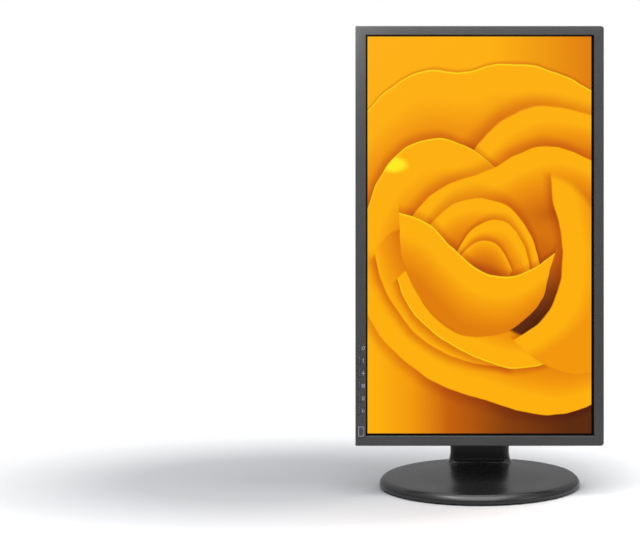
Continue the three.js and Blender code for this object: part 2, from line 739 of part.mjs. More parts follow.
// The outline of each video and sound socket, along x and y.
function smallSockets() {
  const videos = [DIGITAL_SOCKET, ANALOGUE_SOCKET].map(({ x, width }) => ({
    x: [x - width / 2, x + width / 2],
    y: VIDEO_SOCKET.flangeY,
  }));
  return [...videos, SOUND_SOCKET];
}

function socketWindow({ x, y }, z) {
  return block([x[0] - WINDOW_SLACK, x[1] + WINDOW_SLACK], [y[0] - WINDOW_SLACK, y[1] + WINDOW_SLACK], z);
}

function addRearCover() {
  const { wall, face, recessHalf, recessFloor, recessCorner } = BUMP;
  const frontY = PANEL.bezelDepth + GAP;
  const recess = slab(rectangle(recessHalf, recessHalf, recessCorner), [recessFloor, face.y + PAST]);
  const recessOutside = rectangle(recessHalf + wall, recessHalf + wall, recessCorner + wall);
  const recessWall = slab(recessOutside, [recessFloor - wall, face.y + PAST]);
  const hollow = cut(backSkin(wall, frontY - PAST), recessWall);
  const { inset, width, y, height, z } = LOCK_SLOT;
  const lockSlot = centred(width, y, height, BUMP.foot.halfWidth - inset, z);
  const windows = [POWER_INLET, ...smallSockets()].map((socket) => socketWindow(socket, WINDOW_REACH));
  const bolts = boltHoles([recessFloor - 2 * wall, face.y]);
  const openings = [recess, lockSlot, ...bolts, ...ventSlots(), ...windows];
  place(turned, 'rear_cover', cut(backSkin(0, frontY), hollow, ...openings), FINISH.coverPlastic);
}

// ---------------------------------------------------------------- display module

function modulePlate(margin, y) {
  const x = [MODULE.left + margin, MODULE.right - margin];
  return block(x, y, [MODULE.bottom + margin, MODULE.top - margin]);
}

function addDisplayModule() {
  const front = PANEL.wall + GAP;
  const cellBack = front + CELL.depth;
  place(turned, 'screen_glass', modulePlate(CELL.margin, [front, cellBack]), FINISH.screenGlass);
  const frame = cut(
    modulePlate(0, [front, MODULE.depth]),
    modulePlate(MODULE.frame, [front - PAST, MODULE.depth + PAST]),
  );
  place(turned, 'module_frame', frame, FINISH.steel);
  const sheets = modulePlate(CELL.margin, [cellBack + SHEETS.from, cellBack + SHEETS.to]);
  place(turned, 'optical_sheets', sheets, FINISH.whitePlastic);

  const guideY = [cellBack + GUIDE.from, cellBack + GUIDE.to];
  const guideX = [MODULE.left + GUIDE.margin, MODULE.right - GUIDE.margin];
  const guideBottom = MODULE.bottom + GUIDE.foot;
  const lightGuide = block(guideX, guideY, [guideBottom, MODULE.top - GUIDE.margin]);
  place(turned, 'light_guide', lightGuide, FINISH.clearAcrylic);
  const lampBar = block(guideX, guideY, [MODULE.bottom + GUIDE.stripFoot, guideBottom - GAP]);
  place(turned, 'backlight_strip', lampBar, FINISH.whitePlastic);

  const trayX = [MODULE.left - TRAY.reach, MODULE.right + TRAY.reach];
  const trayZ = [MODULE.bottom - TRAY.reach, MODULE.top + TRAY.reach];
  const tray = slab(roundedOutline(trayX, trayZ, TRAY.corner, 2), [TRAY.front, TRAY.back]);
  place(turned, 'module_back_tray', tray, FINISH.steel);
}

// ---------------------------------------------------------------- electronics

// A board-mounted part standing on a board whose upper face is at base.
function onBoard(base, { width, height, x, z, top }) {
  return centred(width, [base - BITE, top], height, x, z);
}

function addElectronics() {
  const { left, right, halfHeight, front, back, postRadius } = CARRIER;
  const posts = [MAIN_BOARD, POWER_BOARD].flatMap(({ posts: places, y }) => (
    places.map(([x, z]) => bar('y', postRadius, [back - BITE, y[0] - GAP], x, z, FINE_SEGMENTS))
  ));
  const sheet = block([left, right], [front, back], [-halfHeight, halfHeight]);
  place(turned, 'board_carrier', join(sheet, ...posts), FINISH.steel);

  const { chip, cooler, memory, connector } = MAIN_BOARD;
  const mainTop = MAIN_BOARD.y[1];
  const main = join(
    block(MAIN_BOARD.x, MAIN_BOARD.y, MAIN_BOARD.z),
    ...[chip, cooler, memory, connector].map((part) => onBoard(mainTop, part)),
  );
  place(turned, 'main_board', main, FINISH.board);

  const { transformer, heatSink, capacitors } = POWER_BOARD;
  const powerTop = POWER_BOARD.y[1];
  const power = join(
    block(POWER_BOARD.x, POWER_BOARD.y, POWER_BOARD.z),
    ...[transformer, heatSink].map((part) => onBoard(powerTop, part)),
    ...capacitors.map(({ radius, x, z, top }) => bar('y', radius, [powerTop - BITE, top], x, z, 16)),
  );
  place(turned, 'power_board', power, FINISH.board);

  const timingTop = TIMING_BOARD.y[1];
  const timing = join(
    centred(TIMING_BOARD.width, TIMING_BOARD.y, TIMING_BOARD.height, 0, TIMING_BOARD.z),
    ...[TIMING_BOARD.chip, TIMING_BOARD.connector].map((part) => onBoard(timingTop, part)),
  );
  place(turned, 'timing_board', timing, FINISH.board);

  const { dome } = KEY_BOARD;
  const domeY = [dome.front, KEY_BOARD.y[0] + BITE];
  const keyBoard = join(
    block(KEY_BOARD.x, KEY_BOARD.y, KEY_BOARD.z),
    ...[...keyPlaces(), POWER_KEY.x].map((x) => centred(dome.width, domeY, dome.height, x, dome.z)),
  );
  place(turned, 'key_board', keyBoard, FINISH.board);
  addShield();
}

function addShield() {
  const { left, right, halfHeight, front, back, sheet } = SHIELD;
  const can = block([left, right], [front, back], [-halfHeight, halfHeight]);
  const inside = block(
    [left + sheet, right - sheet], [front - PAST, back - sheet], [-halfHeight + sheet, halfHeight - sheet],
  );
  const side = [-halfHeight - PAST, -halfHeight + sheet + PAST];
  const windows = smallSockets().map((socket) => socketWindow(socket, side));
  const holes = boltHoles([back - sheet - PAST, back + PAST]);
  place(turned, 'board_shield', cut(can, inside, ...windows, ...holes), FINISH.aluminium);
}

function videoSocket({ x, width, shell }) {
  const { flangeY, flangeDepth, bodyInset, bodyY, bodyTop, shellY, set } = VIDEO_SOCKET;
  const bottom = SOCKET_FACE + set;
  const flange = centred(width, flangeY, flangeDepth, x, bottom);
  const body = block([x - width / 2 + bodyInset, x + width / 2 - bodyInset], bodyY, [bottom, bodyTop]);
  const mouth = block([x - shell / 2, x + shell / 2], shellY, [SOCKET_FACE, bottom + PAST]);
  return join(flange, body, mouth);
}

function addSockets() {
  const { x, y, depth, wall, mouth, pin, pinHalf, pins } = POWER_INLET;
  const body = block(x, y, [SOCKET_FACE, SOCKET_FACE + depth]);
  const mouthZ = [SOCKET_FACE - PAST, SOCKET_FACE + mouth];
  const opening = block([x[0] + wall, x[1] - wall], [y[0] + wall, y[1] - wall], mouthZ);
  const blades = pins.map(([across, deep]) => {
    const pinX = (x[0] + x[1]) / 2 + across;
    const pinY = (y[0] + y[1]) / 2 + deep;
    const span = [SOCKET_FACE + pin[0], SOCKET_FACE + pin[1]];
    return block([pinX - pinHalf[0], pinX + pinHalf[0]], [pinY - pinHalf[1], pinY + pinHalf[1]], span);
  });
  place(turned, 'power_inlet', join(cut(body, opening), ...blades), FINISH.insidePlastic);
  place(turned, 'digital_video_socket', videoSocket(DIGITAL_SOCKET), FINISH.nickel);
  place(turned, 'analogue_video_socket', videoSocket(ANALOGUE_SOCKET), FINISH.nickel);

  const jackX = (SOUND_SOCKET.x[0] + SOUND_SOCKET.x[1]) / 2;
  const jackY = (SOUND_SOCKET.y[0] + SOUND_SOCKET.y[1]) / 2;
  const housing = block(SOUND_SOCKET.x, SOUND_SOCKET.y, [SOCKET_FACE + PAST, SOUND_SOCKET.top]);
  const barrel = bar('z', SOUND_SOCKET.collar, [SOCKET_FACE, SOUND_SOCKET.collarTop], jackX, jackY);
  const boreZ = [SOCKET_FACE - PAST, SOUND_SOCKET.boreTop];
  const bore = bar('z', SOUND_SOCKET.bore, boreZ, jackX, jackY, FINE_SEGMENTS);
  place(turned, 'sound_socket', cut(join(housing, barrel), bore), FINISH.insidePlastic);
}

// ---------------------------------------------------------------- keys

function addKeys() {
  keyPlaces().forEach((x, index) => {
    const cap = centred(KEYS.width, [-KEYS.proud, KEYS.flangeFront + BITE], KEYS.height, x, KEYS.z);
    const flangeY = [KEYS.flangeFront, KEYS.back];
    const flange = centred(KEYS.width + 2 * KEYS.flange, flangeY, KEYS.height + 2 * KEYS.flange, x, KEYS.z);
    place(turned, `menu_key_${index + 1}`, join(cap, flange), FINISH.keyPlastic);
  });

  const { x, z, width, height, capBack, stemTop, stemInset, lift } = POWER_KEY;
  const cap = centred(width, [-KEYS.proud, capBack], height, x, z);
  const stemZ = [z - height / 2 + lift, stemTop];
  const stemX = [x - width / 2 + stemInset, x + width / 2 - stemInset];
  const stem = block(stemX, [capBack - BITE, KEYS.back], stemZ);
  const flangeX = [x - width / 2 - KEYS.flange, x + width / 2 + KEYS.flange];
  const flange = block(flangeX, [KEYS.flangeFront, KEYS.back], stemZ);
  place(turned, 'power_key', join(cap, stem, flange), FINISH.keyPlastic);
}

addTurntable();
addFoot();
addColumn();
addCableClip();
addCarriage();
addTiltHead();
addPivot();
addBezel();
addRearCover();
addDisplayModule();
addElectronics();
addSockets();
addKeys();

export default monitor;
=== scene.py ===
"""The looks of a computer monitor that stands upright on a round swivelling foot.

Metres, +Z up, the display facing -Y. The panel's own pieces are drawn as it lies wide: x across,
z up and y back from its front face, and PANEL turns them upright.
"""

import json
import math

import bmesh
import bpy
from mathutils import Matrix, Vector


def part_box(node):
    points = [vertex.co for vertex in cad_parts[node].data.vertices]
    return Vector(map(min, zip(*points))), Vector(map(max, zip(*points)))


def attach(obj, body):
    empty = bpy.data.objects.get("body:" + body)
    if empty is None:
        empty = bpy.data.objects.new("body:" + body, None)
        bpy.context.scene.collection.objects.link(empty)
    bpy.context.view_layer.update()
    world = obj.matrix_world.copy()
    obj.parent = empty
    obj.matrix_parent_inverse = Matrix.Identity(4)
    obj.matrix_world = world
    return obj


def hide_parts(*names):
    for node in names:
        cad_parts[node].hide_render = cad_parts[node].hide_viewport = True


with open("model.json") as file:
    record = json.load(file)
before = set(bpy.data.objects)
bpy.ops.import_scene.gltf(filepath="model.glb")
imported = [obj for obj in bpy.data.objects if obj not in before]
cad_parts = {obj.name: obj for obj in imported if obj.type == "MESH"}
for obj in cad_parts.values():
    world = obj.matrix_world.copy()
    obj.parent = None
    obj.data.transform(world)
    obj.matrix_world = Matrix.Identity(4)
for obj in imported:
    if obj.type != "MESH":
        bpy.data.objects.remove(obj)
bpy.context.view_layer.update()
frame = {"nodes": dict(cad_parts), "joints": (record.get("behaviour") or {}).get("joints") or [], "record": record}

# ---- the frame's own places

MM = 0.001
GAP = 0.3 * MM  # running space between neighbouring pieces
PAST = 1 * MM  # how far a cutter runs past what it cuts


def mm(*lengths):
    return tuple(length * MM for length in lengths)


JOINTS = {joint["name"]: joint for joint in frame["joints"]}
PANEL_FRONT = Vector(JOINTS["pivot"]["pos_m"])
FACING = Vector(JOINTS["pivot"]["axis"])
LEAN = math.atan2(FACING.z, -FACING.y)
HEAD = Matrix.Translation(PANEL_FRONT) @ Matrix.Rotation(-LEAN, 4, "X")
PANEL = HEAD @ Matrix.Rotation(math.pi / 2, 4, "Y")
UPRIGHT = Matrix.Identity(4)


def local_box(name, matrix):
    """(lowest, highest corner) of a CAD node, measured along a turned frame's axes."""
    inverse = matrix.inverted()
    points = [inverse @ vertex.co for vertex in frame["nodes"][name].data.vertices]
    low = Vector([min(point[axis] for point in points) for axis in range(3)])
    high = Vector([max(point[axis] for point in points) for axis in range(3)])
    return low, high


# ---- camera

VIEW_DISTANCE = 2.4286  # along the panel's own normal
VIEW_BELOW_MIDDLE = 0.05484  # the camera looks at a point this far under the panel's middle
LENS = 102.4
SIDE_SHIFT = -0.2494  # the monitor stands in the right half of the frame, with no keystone


def link(thing):
    bpy.context.scene.collection.objects.link(thing)
    return thing


def add_camera():
    data = bpy.data.cameras.new("camera")
    data.lens = LENS
    data.shift_x = SIDE_SHIFT
    camera = link(bpy.data.objects.new("camera", data))
    up = Vector((0, FACING.z, -FACING.y))
    camera.location = PANEL_FRONT + FACING * VIEW_DISTANCE - up * VIEW_BELOW_MIDDLE
    camera.rotation_euler = (math.pi / 2 - LEAN, 0, 0)
    bpy.context.scene.camera = camera


# ---- shader nodes


def shade(tree, kind, values=None, **settings):
    """A new node; values fill its inputs with numbers or with links from other nodes' sockets."""
    made = tree.nodes.new(kind)
    for key, value in settings.items():
        setattr(made, key, value)
    for key, value in (values or {}).items():
        if isinstance(value, bpy.types.NodeSocket):
            tree.links.new(value, made.inputs[key])
        else:
            made.inputs[key].default_value = value
    return made


def calc(tree, operation, *terms):
    return shade(tree, "ShaderNodeMath", dict(enumerate(terms)), operation=operation).outputs[0]


def vector(tree, operation, *terms):
    return shade(tree, "ShaderNodeVectorMath", dict(enumerate(terms)), operation=operation).outputs


def linear(red, green, blue):
    """Scene colour of an 8 bit display colour."""
    channels = [value / 255 for value in (red, green, blue)]
    return tuple(c / 12.92 if c <= 0.04045 else ((c + 0.055) / 1.055) ** 2.4 for c in channels) + (1,)


def ramp(tree, factor, stops):
    """A colour ramp; stops are (place, colour) pairs in order of place."""
    made = shade(tree, "ShaderNodeValToRGB", {0: factor})
    elements = made.color_ramp.elements
    while len(elements) < len(stops):
        elements.new(1)
    for element, (place, colour) in zip(elements, stops):
        element.position = place
        element.color = colour
    return made.outputs[0]


def blended(tree, amount, low, high, mode="MIX"):
    values = {0: amount, 6: low, 7: high}  # 6, 7 and 2 are the colour sockets
    return shade(tree, "ShaderNodeMix", values, data_type="RGBA", blend_type=mode).outputs[2]


def spread(tree, value, low, high, to_low=0.0, to_high=1.0, smooth=False):
    """Maps low..high to to_low..to_high, clamped."""
    kind = "SMOOTHSTEP" if smooth else "LINEAR"
    values = {"Value": value, "From Min": low, "From Max": high, "To Min": to_low, "To Max": to_high}
    return shade(tree, "ShaderNodeMapRange", values, interpolation_type=kind, clamp=True).outputs[0]


def noise(tree, place, scale, detail=2.0, roughness=0.5):
    values = {"Vector": place, "Scale": scale, "Detail": detail, "Roughness": roughness}
    return shade(tree, "ShaderNodeTexNoise", values).outputs["Fac"]


def new_material(name):
    material = bpy.data.materials.new(name)
    material.use_nodes = True
    tree = material.node_tree
    tree.nodes.clear()
    shader = shade(tree, "ShaderNodeBsdfPrincipled")
    output = shade(tree, "ShaderNodeOutputMaterial", {"Surface": shader.outputs[0]})
    place = shade(tree, "ShaderNodeTexCoord").outputs["Object"]
    return material, tree, shader, place, output


NOISE_RANGE = (0.3, 0.7)  # where most of a noise texture's values lie


def toned(tree, texture, colour, change):
    """A colour that drifts by a share either way with a noise texture."""
    dark = tuple(c * (1 - change) for c in colour[:3]) + (1,)
    light = tuple(min(c * (1 + change), 1) for c in colour[:3]) + (1,)
    return ramp(tree, texture, list(zip(NOISE_RANGE, (dark, light))))


def graded(tree, texture, low, high):
    """A number that drifts from low to high with a noise texture."""
    return spread(tree, texture, *NOISE_RANGE, low, high)


def weighed(tree, first, second, share):
    """Two textures added up; share is how much of the first."""
    return calc(tree, "ADD", calc(tree, "MULTIPLY", first, share), calc(tree, "MULTIPLY", second, 1 - share))


def surface(tree, shader, colour, roughness, height, depth, strength):
    """Gives a shader its colour and roughness, and bumps that rise by depth where height is 1."""
    tree.links.new(colour, shader.inputs["Base Color"])
    tree.links.new(roughness, shader.inputs["Roughness"])
    bump = shade(tree, "ShaderNodeBump", {"Height": height, "Distance": depth, "Strength": strength})
    tree.links.new(bump.outputs[0], shader.inputs["Normal"])


def moulded_plastic(name, colour, roughness, grain, depth, wear=0.1):
    """Injection-moulded plastic: a fine etched grain, faint flow mottling and handling marks."""
    material, tree, shader, place, _ = new_material(name)
    mottle = noise(tree, place, 14, 3)
    smear = noise(tree, place, 55, 4, 0.6)
    fine = noise(tree, place, grain, 2)
    shown = toned(tree, mottle, colour, 0.07)
    worn = weighed(tree, smear, fine, 0.7)
    gloss = graded(tree, worn, roughness * (1 - wear), roughness * (1 + wear))
    surface(tree, shader, shown, gloss, fine, depth, 0.6)
    return material


def metal(name, colour, roughness, stretch=(1, 1, 1), depth=0.02 * MM, metallic=1.0):
    """Sheet, cast or plated metal; stretch draws the brushing or rolling lines out along an axis."""
    material, tree, shader, place, _ = new_material(name)
    drawn = shade(tree, "ShaderNodeMapping", {"Vector": place, "Scale": stretch}).outputs[0]
    lines = noise(tree, drawn, 900, 3, 0.6)
    stain = noise(tree, place, 30, 4, 0.6)
    shown = toned(tree, stain, colour, 0.12)
    worn = weighed(tree, lines, stain, 0.5)
    gloss = graded(tree, worn, roughness - 0.08, roughness + 0.12)
    surface(tree, shader, shown, gloss, lines, depth, 0.5)
    shader.inputs["Metallic"].default_value = metallic
    return material


def rubber(name, colour):
    material, tree, shader, place, _ = new_material(name)
    bloom = noise(tree, place, 120, 4, 0.65)
    grit = noise(tree, place, 1800, 2)
    shown = toned(tree, bloom, colour, 0.3)
    surface(tree, shader, shown, graded(tree, bloom, 0.72, 0.92), grit, 0.08 * MM, 0.7)
    return material


def circuit_board(name):
    """Green solder mask over copper tracks, with small pale pads."""
    material, tree, shader, place, _ = new_material(name)
    flat = shade(tree, "ShaderNodeMapping", {"Vector": place, "Rotation": (math.pi / 2, 0, 0)}).outputs[0]
    tracks = shade(tree, "ShaderNodeTexBrick", {
        "Vector": flat, "Scale": 60.0, "Mortar Size": 0.03, "Mortar Smooth": 0.2, "Brick Width": 0.9,
        "Row Height": 0.18,
    }).outputs["Fac"]
    dots = shade(tree, "ShaderNodeTexVoronoi", {"Vector": place, "Scale": 420.0}).outputs["Distance"]
    mask, track, pad = linear(24, 92, 52), linear(46, 128, 72), linear(186, 182, 160)
    base = blended(tree, tracks, mask, track)
    pads = spread(tree, dots, 0.14, 0.18, 1, 0)
    shown = blended(tree, pads, base, pad)
    gloss = spread(tree, pads, 0, 1, 0.42, 0.28)
    surface(tree, shader, shown, gloss, calc(tree, "ADD", tracks, pads), 0.05 * MM, 0.6)
    return material


def clear_acrylic(name):
    material, tree, shader, place, _ = new_material(name)
    tint = toned(tree, noise(tree, place, 20), linear(226, 236, 240), 0.05)
    tree.links.new(tint, shader.inputs["Base Color"])
    tree.links.new(graded(tree, noise(tree, place, 300), 0.05, 0.2), shader.inputs["Roughness"])
    shader.inputs["Transmission Weight"].default_value = 0.85
    shader.inputs["IOR"].default_value = 1.49
    return material


# ---- the lit picture

# The black border left between these edges and the bezel's opening is partly the panel's own unlit edge and partly
# painted shade, widest at the top and right.
PICTURE = {"left": -266.25 * MM, "right": 263.65 * MM, "bottom": -149.65 * MM, "top": 149.15 * MM}

YELLOW = linear(255, 236, 30)
AMBER = linear(255, 177, 2)
HONEY = linear(244, 152, 0)
ORANGE = linear(226, 126, 0)
RUST = linear(200, 98, 0)
BROWN = linear(134, 62, 3)
DARK = linear(92, 40, 4)
SHADE = linear(214, 150, 60)  # what a petal's shadow multiplies the colour behind it by

# Overlapping petals, from the back to the front. Edges are in hundredths of the picture's width from
# the upright picture's lower left corner, and a petal lies on the right-hand side of each of them.
# The rest are in picture widths. soft is how wide each edge's fade is, depths are (distance in from
# the first edge, colour) pairs, across colours a petal from left to right instead, shadow is how wide
# a shadow it throws past its first edge, and glow is the middle of a bright spot.
FAR_SIDE = [(100, 50), (0, 70)]  # an edge that only fades a petal out, across the picture
PETALS = [
    dict(  # the far petals at the foot of the picture
        edges=[[(0, 62), (100, 30)]],
        soft=[0.3],
        across=[(0.04, AMBER), (0.2, HONEY), (0.36, RUST), (0.62, BROWN), (0.9, DARK)],
    ),
    dict(  # the widest petal, at the top
        edges=[
            [(0, 144), (12, 155.5), (26, 162), (42, 161), (60, 165), (80, 163), (100, 153)],
            FAR_SIDE,
        ],
        soft=[0.006, 0.2], shadow=0.02,
        depths=[(0, YELLOW), (0.008, AMBER), (0.12, AMBER), (0.24, HONEY), (0.36, ORANGE), (0.45, RUST)],
    ),
    dict(  # one behind the bloom at the right
        edges=[[(40, 114), (52, 132), (66, 143), (82, 146), (100, 142)], FAR_SIDE],
        soft=[0.012, 0.2], shadow=0.09,
        depths=[(0, AMBER), (0.07, AMBER), (0.13, HONEY), (0.2, ORANGE)],
    ),
    dict(  # the left-hand petal
        edges=[[(0, 100), (5, 113), (14, 125), (26, 131), (40, 130), (56, 120)], FAR_SIDE],
        soft=[0.006, 0.2], shadow=0.06, glow=(0.12, 1.2),
        depths=[(0, YELLOW), (0.007, AMBER), (0.13, AMBER), (0.22, HONEY), (0.34, ORANGE)],
    ),
    dict(  # the bloom's outer petal, behind
        edges=[
            [(15, 86), (22, 100), (34, 110), (50, 116), (68, 125), (84, 128), (100, 122)],
            [(100, 40), (0, 70)],
        ],
        soft=[0.006, 0.2], shadow=0.07,
        depths=[(0, AMBER), (0.08, AMBER), (0.14, HONEY), (0.22, ORANGE), (0.3, RUST)],
    ),
    dict(  # the lowest petal
        edges=[
            [(100, 13), (85, 8.5), (68, 10), (52, 15), (36, 20), (20, 30), (7, 42), (0, 53)],
            [(0, 78), (30, 66), (60, 50), (100, 42)],
        ],
        soft=[0.006, 0.1], shadow=0.07,
        depths=[(0, AMBER), (0.08, AMBER), (0.15, HONEY), (0.27, ORANGE)],
    ),
    dict(  # a petal turned up at the left
        edges=[
            [(60, 30), (44, 32), (29, 39), (17, 50), (8, 64), (3, 80)],
            [(3, 80), (12, 90), (22, 84), (50, 50)],
        ],
        soft=[0.008, 0.03], shadow=0.05,
        depths=[(0, AMBER), (0.06, HONEY), (0.14, ORANGE), (0.22, RUST)],
    ),
    dict(  # the darkest hollow, right of the bud
        edges=[[(40, 98), (62, 98), (90, 90)], [(100, 50), (72, 38), (40, 46)], [(30, 40), (36, 100)]],
        soft=[0.14, 0.04, 0.1],
        depths=[(0, ORANGE), (0.14, RUST), (0.28, BROWN), (0.42, DARK)],
    ),
    dict(  # the petal under the bud
        edges=[
            [(84, 33), (70, 29.5), (55, 31.5), (40, 38), (27, 47), (18, 58), (13, 70)],
            [(14, 70), (20, 74), (45, 60), (60, 48), (72, 42), (85, 35)],
        ],
        soft=[0.006, 0.02], shadow=0.05,
        depths=[(0, YELLOW), (0.006, AMBER), (0.07, AMBER), (0.13, HONEY), (0.2, ORANGE)],
    ),
    dict(  # the bright petal standing up at the right
        edges=[
            [(66, 42), (77, 50), (84.5, 62), (87, 78), (86, 92), (83, 104), (82, 116)],
            [(80, 116), (90, 112), (100, 102)],
            [(100, 27), (90, 27), (76, 33), (66, 41)],
        ],
        soft=[0.008, 0.05, 0.008], shadow=0.05,
        depths=[(0, AMBER), (0.1, AMBER), (0.17, HONEY)],
    ),
    dict(  # the bud's back petal
        edges=[
            [(19, 72), (25, 88), (33, 98.5), (44, 104.5), (56, 104), (67, 97), (74, 86), (78, 72)],
            [(78, 70), (68, 52), (50, 44), (30, 52), (19, 72)],
        ],
        soft=[0.006, 0.02], shadow=0.08,
        depths=[(0, AMBER), (0.05, AMBER), (0.1, HONEY), (0.16, ORANGE), (0.24, RUST)],
    ),
    dict(  # its right-hand petal
        edges=[
            [(37, 74), (42, 85), (50, 93), (60, 94.5), (67.5, 88), (72, 78), (73, 65)],
            [(73, 62), (56, 50), (37, 62)],
        ],
        soft=[0.006, 0.03], shadow=0.05,
        depths=[(0, AMBER), (0.04, AMBER), (0.08, HONEY), (0.13, ORANGE), (0.2, RUST)],
    ),
    dict(  # its innermost petal
        edges=[[(39, 76), (45, 83), (53, 86), (60, 82), (64, 74)], [(64, 72), (50, 56), (39, 72)]],
        soft=[0.006, 0.03], shadow=0.04,
        depths=[(0, AMBER), (0.03, HONEY), (0.07, ORANGE), (0.12, RUST)],
    ),
    dict(  # the front petal wrapped round the bud
        edges=[
            [(16, 98), (28, 93), (38, 83), (48, 74), (60, 70), (71, 72), (84, 81)],
            [(84, 82), (79, 62), (68, 49), (53, 43.5), (37, 47), (24, 60), (16, 77), (14, 98)],
        ],
        soft=[0.006, 0.01], shadow=0.05,
        depths=[(0, YELLOW), (0.008, AMBER), (0.09, AMBER), (0.16, HONEY), (0.25, ORANGE)],
    ),
]
GLOW_SIZE = Vector((0.075, 0.045))
SHADOW_STRENGTH = 0.6
RIPPLE = {"scale": 7.0, "size": 0.02}  # bends every petal's edge a little


def inside_edge(tree, place, edge):
    """How far inside an edge a place in the picture is."""
    start, end = Vector(edge[0]), Vector(edge[-1])
    chord = end - start
    along = chord / chord.length_squared
    outward = Vector((-chord.y, chord.x)).normalized()
    share = calc(tree, "SUBTRACT", dot(tree, place, along), along.dot(start))
    out = calc(tree, "SUBTRACT", dot(tree, place, outward), outward.dot(start))
    curve = tree.nodes.new("ShaderNodeFloatCurve")
    tree.links.new(share, curve.inputs["Value"])
    points = curve.mapping.curves[0].points
    while len(points) < len(edge):
        points.new(0.5, 0.5)
    for point, spot in zip(points, edge):
        away = Vector(spot) - start
        point.location = (along.dot(away), 0.5 + outward.dot(away) / (2 * chord.length))
    curve.mapping.update()
    rise = calc(tree, "MULTIPLY_ADD", curve.outputs[0], 2 * chord.length, -chord.length)
    return calc(tree, "SUBTRACT", rise, out)


def dot(tree, place, direction):
    return vector(tree, "DOT_PRODUCT", place, (direction.x, direction.y, 0))["Value"]


def petal(tree, behind, place, edges, soft, depths=None, across=None, shadow=0.0, glow=None):
    """One petal over the picture so far."""
    insides = [inside_edge(tree, place, [(x / 100, y / 100) for x, y in edge]) for edge in edges]
    limits = [spread(tree, inside, -fade / 2, fade / 2, smooth=True) for inside, fade in zip(insides, soft)]
    mask = limits[0]
    for limit in limits[1:]:
        mask = calc(tree, "MULTIPLY", mask, limit)
    if across:
        colour = ramp(tree, dot(tree, place, Vector((1, 0))), across)
    else:
        reach = depths[-1][0]
        share = calc(tree, "DIVIDE", insides[0], reach)
        colour = ramp(tree, share, [(at / reach, tint) for at, tint in depths])
    if glow:
        size = Vector((1 / GLOW_SIZE.x, 1 / GLOW_SIZE.y, 1))
        away = vector(tree, "SUBTRACT", place, (*glow, 0))[0]
        distance = vector(tree, "LENGTH", vector(tree, "MULTIPLY", away, size)[0])["Value"]
        colour = blended(tree, spread(tree, distance, 0.4, 1, 1, 0, smooth=True), colour, YELLOW)
    if shadow:
        near = spread(tree, insides[0], -shadow, 0, 0, SHADOW_STRENGTH, smooth=True)
        for limit in limits[1:]:
            near = calc(tree, "MULTIPLY", near, limit)
        behind = blended(tree, near, behind, SHADE, "MULTIPLY")
    return blended(tree, mask, behind, colour)


def petal_picture(tree, across, up):
    """A close-up of overlapping amber petals."""
    flat = shade(tree, "ShaderNodeCombineXYZ", {0: across, 1: up}).outputs[0]
    values = {"Vector": flat, "Scale": RIPPLE["scale"], "Detail": 2.0}
    ripple = shade(tree, "ShaderNodeTexNoise", values).outputs["Color"]
    values = {0: vector(tree, "SUBTRACT", ripple, (0.5, 0.5, 0.5))[0], "Scale": RIPPLE["size"]}
    nudge = shade(tree, "ShaderNodeVectorMath", values, operation="SCALE").outputs[0]
    place = vector(tree, "ADD", flat, nudge)[0]
    colour = ramp(tree, across, [(0.55, AMBER), (1.0, ORANGE)])
    for layer in PETALS:
        colour = petal(tree, colour, place, **layer)
    return colour


def screen_film(name):
    """The display's front: a lit picture inside a black border, under a matt anti-glare film."""
    material, tree, shader, place, _ = new_material(name)
    parts = shade(tree, "ShaderNodeSeparateXYZ", {0: place}).outputs
    width = PICTURE["top"] - PICTURE["bottom"]
    height = (PICTURE["right"] - PICTURE["left"]) / width
    across = calc(tree, "DIVIDE", calc(tree, "SUBTRACT", parts[2], PICTURE["bottom"]), width)
    up = calc(tree, "DIVIDE", calc(tree, "SUBTRACT", PICTURE["right"], parts[0]), width)
    off_middle = calc(tree, "ABSOLUTE", calc(tree, "SUBTRACT", across, 0.5))
    off_middle_up = calc(tree, "ABSOLUTE", calc(tree, "SUBTRACT", up, height / 2))
    inside = calc(tree, "MULTIPLY", calc(tree, "LESS_THAN", off_middle, 0.5),
                  calc(tree, "LESS_THAN", off_middle_up, height / 2))
    # Black outside the picture: the panel's unlit edge, which is also painted shade round the picture.
    shown = blended(tree, inside, (0, 0, 0, 1), petal_picture(tree, across, up))
    tree.links.new(shown, shader.inputs["Emission Color"])
    shader.inputs["Emission Strength"].default_value = 0.98
    film = noise(tree, place, 2600, 2)
    gloss = graded(tree, film, 0.36, 0.46)
    surface(tree, shader, toned(tree, film, linear(5, 5, 6), 0.2), gloss, film, 0.01 * MM, 0.4)
    shader.inputs["Specular IOR Level"].default_value = 0.06
    return material


LOOKS = {name: maker(name, *values) for name, maker, *values in (
    ("bezel_plastic", moulded_plastic, linear(58, 58, 59), 0.42, 1500, 0.05 * MM),
    ("cover_plastic", moulded_plastic, linear(56, 56, 58), 0.5, 1100, 0.12 * MM),
    ("foot_plastic", moulded_plastic, linear(24, 24, 25), 0.27, 1700, 0.001 * MM, 0.03),
    ("column_plastic", moulded_plastic, linear(20, 20, 22), 0.31, 1600, 0.01 * MM, 0.06),
    ("key_plastic", moulded_plastic, linear(64, 64, 68), 0.4, 1600, 0.03 * MM),
    ("inside_plastic", moulded_plastic, linear(26, 26, 27), 0.6, 1200, 0.06 * MM),
    ("white_plastic", moulded_plastic, linear(228, 226, 218), 0.5, 1400, 0.03 * MM),
    ("screen", screen_film),
    ("acrylic", clear_acrylic),
    ("steel", metal, linear(172, 175, 178), 0.34, (0.05, 1, 1)),
    ("dark_steel", metal, linear(58, 60, 63), 0.46, (1, 1, 1), 0.06 * MM, 0.35),
    ("spring_steel", metal, linear(120, 123, 130), 0.28, (1, 1, 0.04)),
    ("aluminium", metal, linear(196, 199, 202), 0.4, (1, 1, 1), 0.08 * MM),
    ("rubber", rubber, linear(26, 26, 27)),
    ("board", circuit_board),
    ("nickel", metal, linear(200, 203, 206), 0.2, (1, 0.1, 1)),
)}
PRINT = moulded_plastic("printed_mark", linear(156, 156, 160), 0.5, 1500, 0.01 * MM)
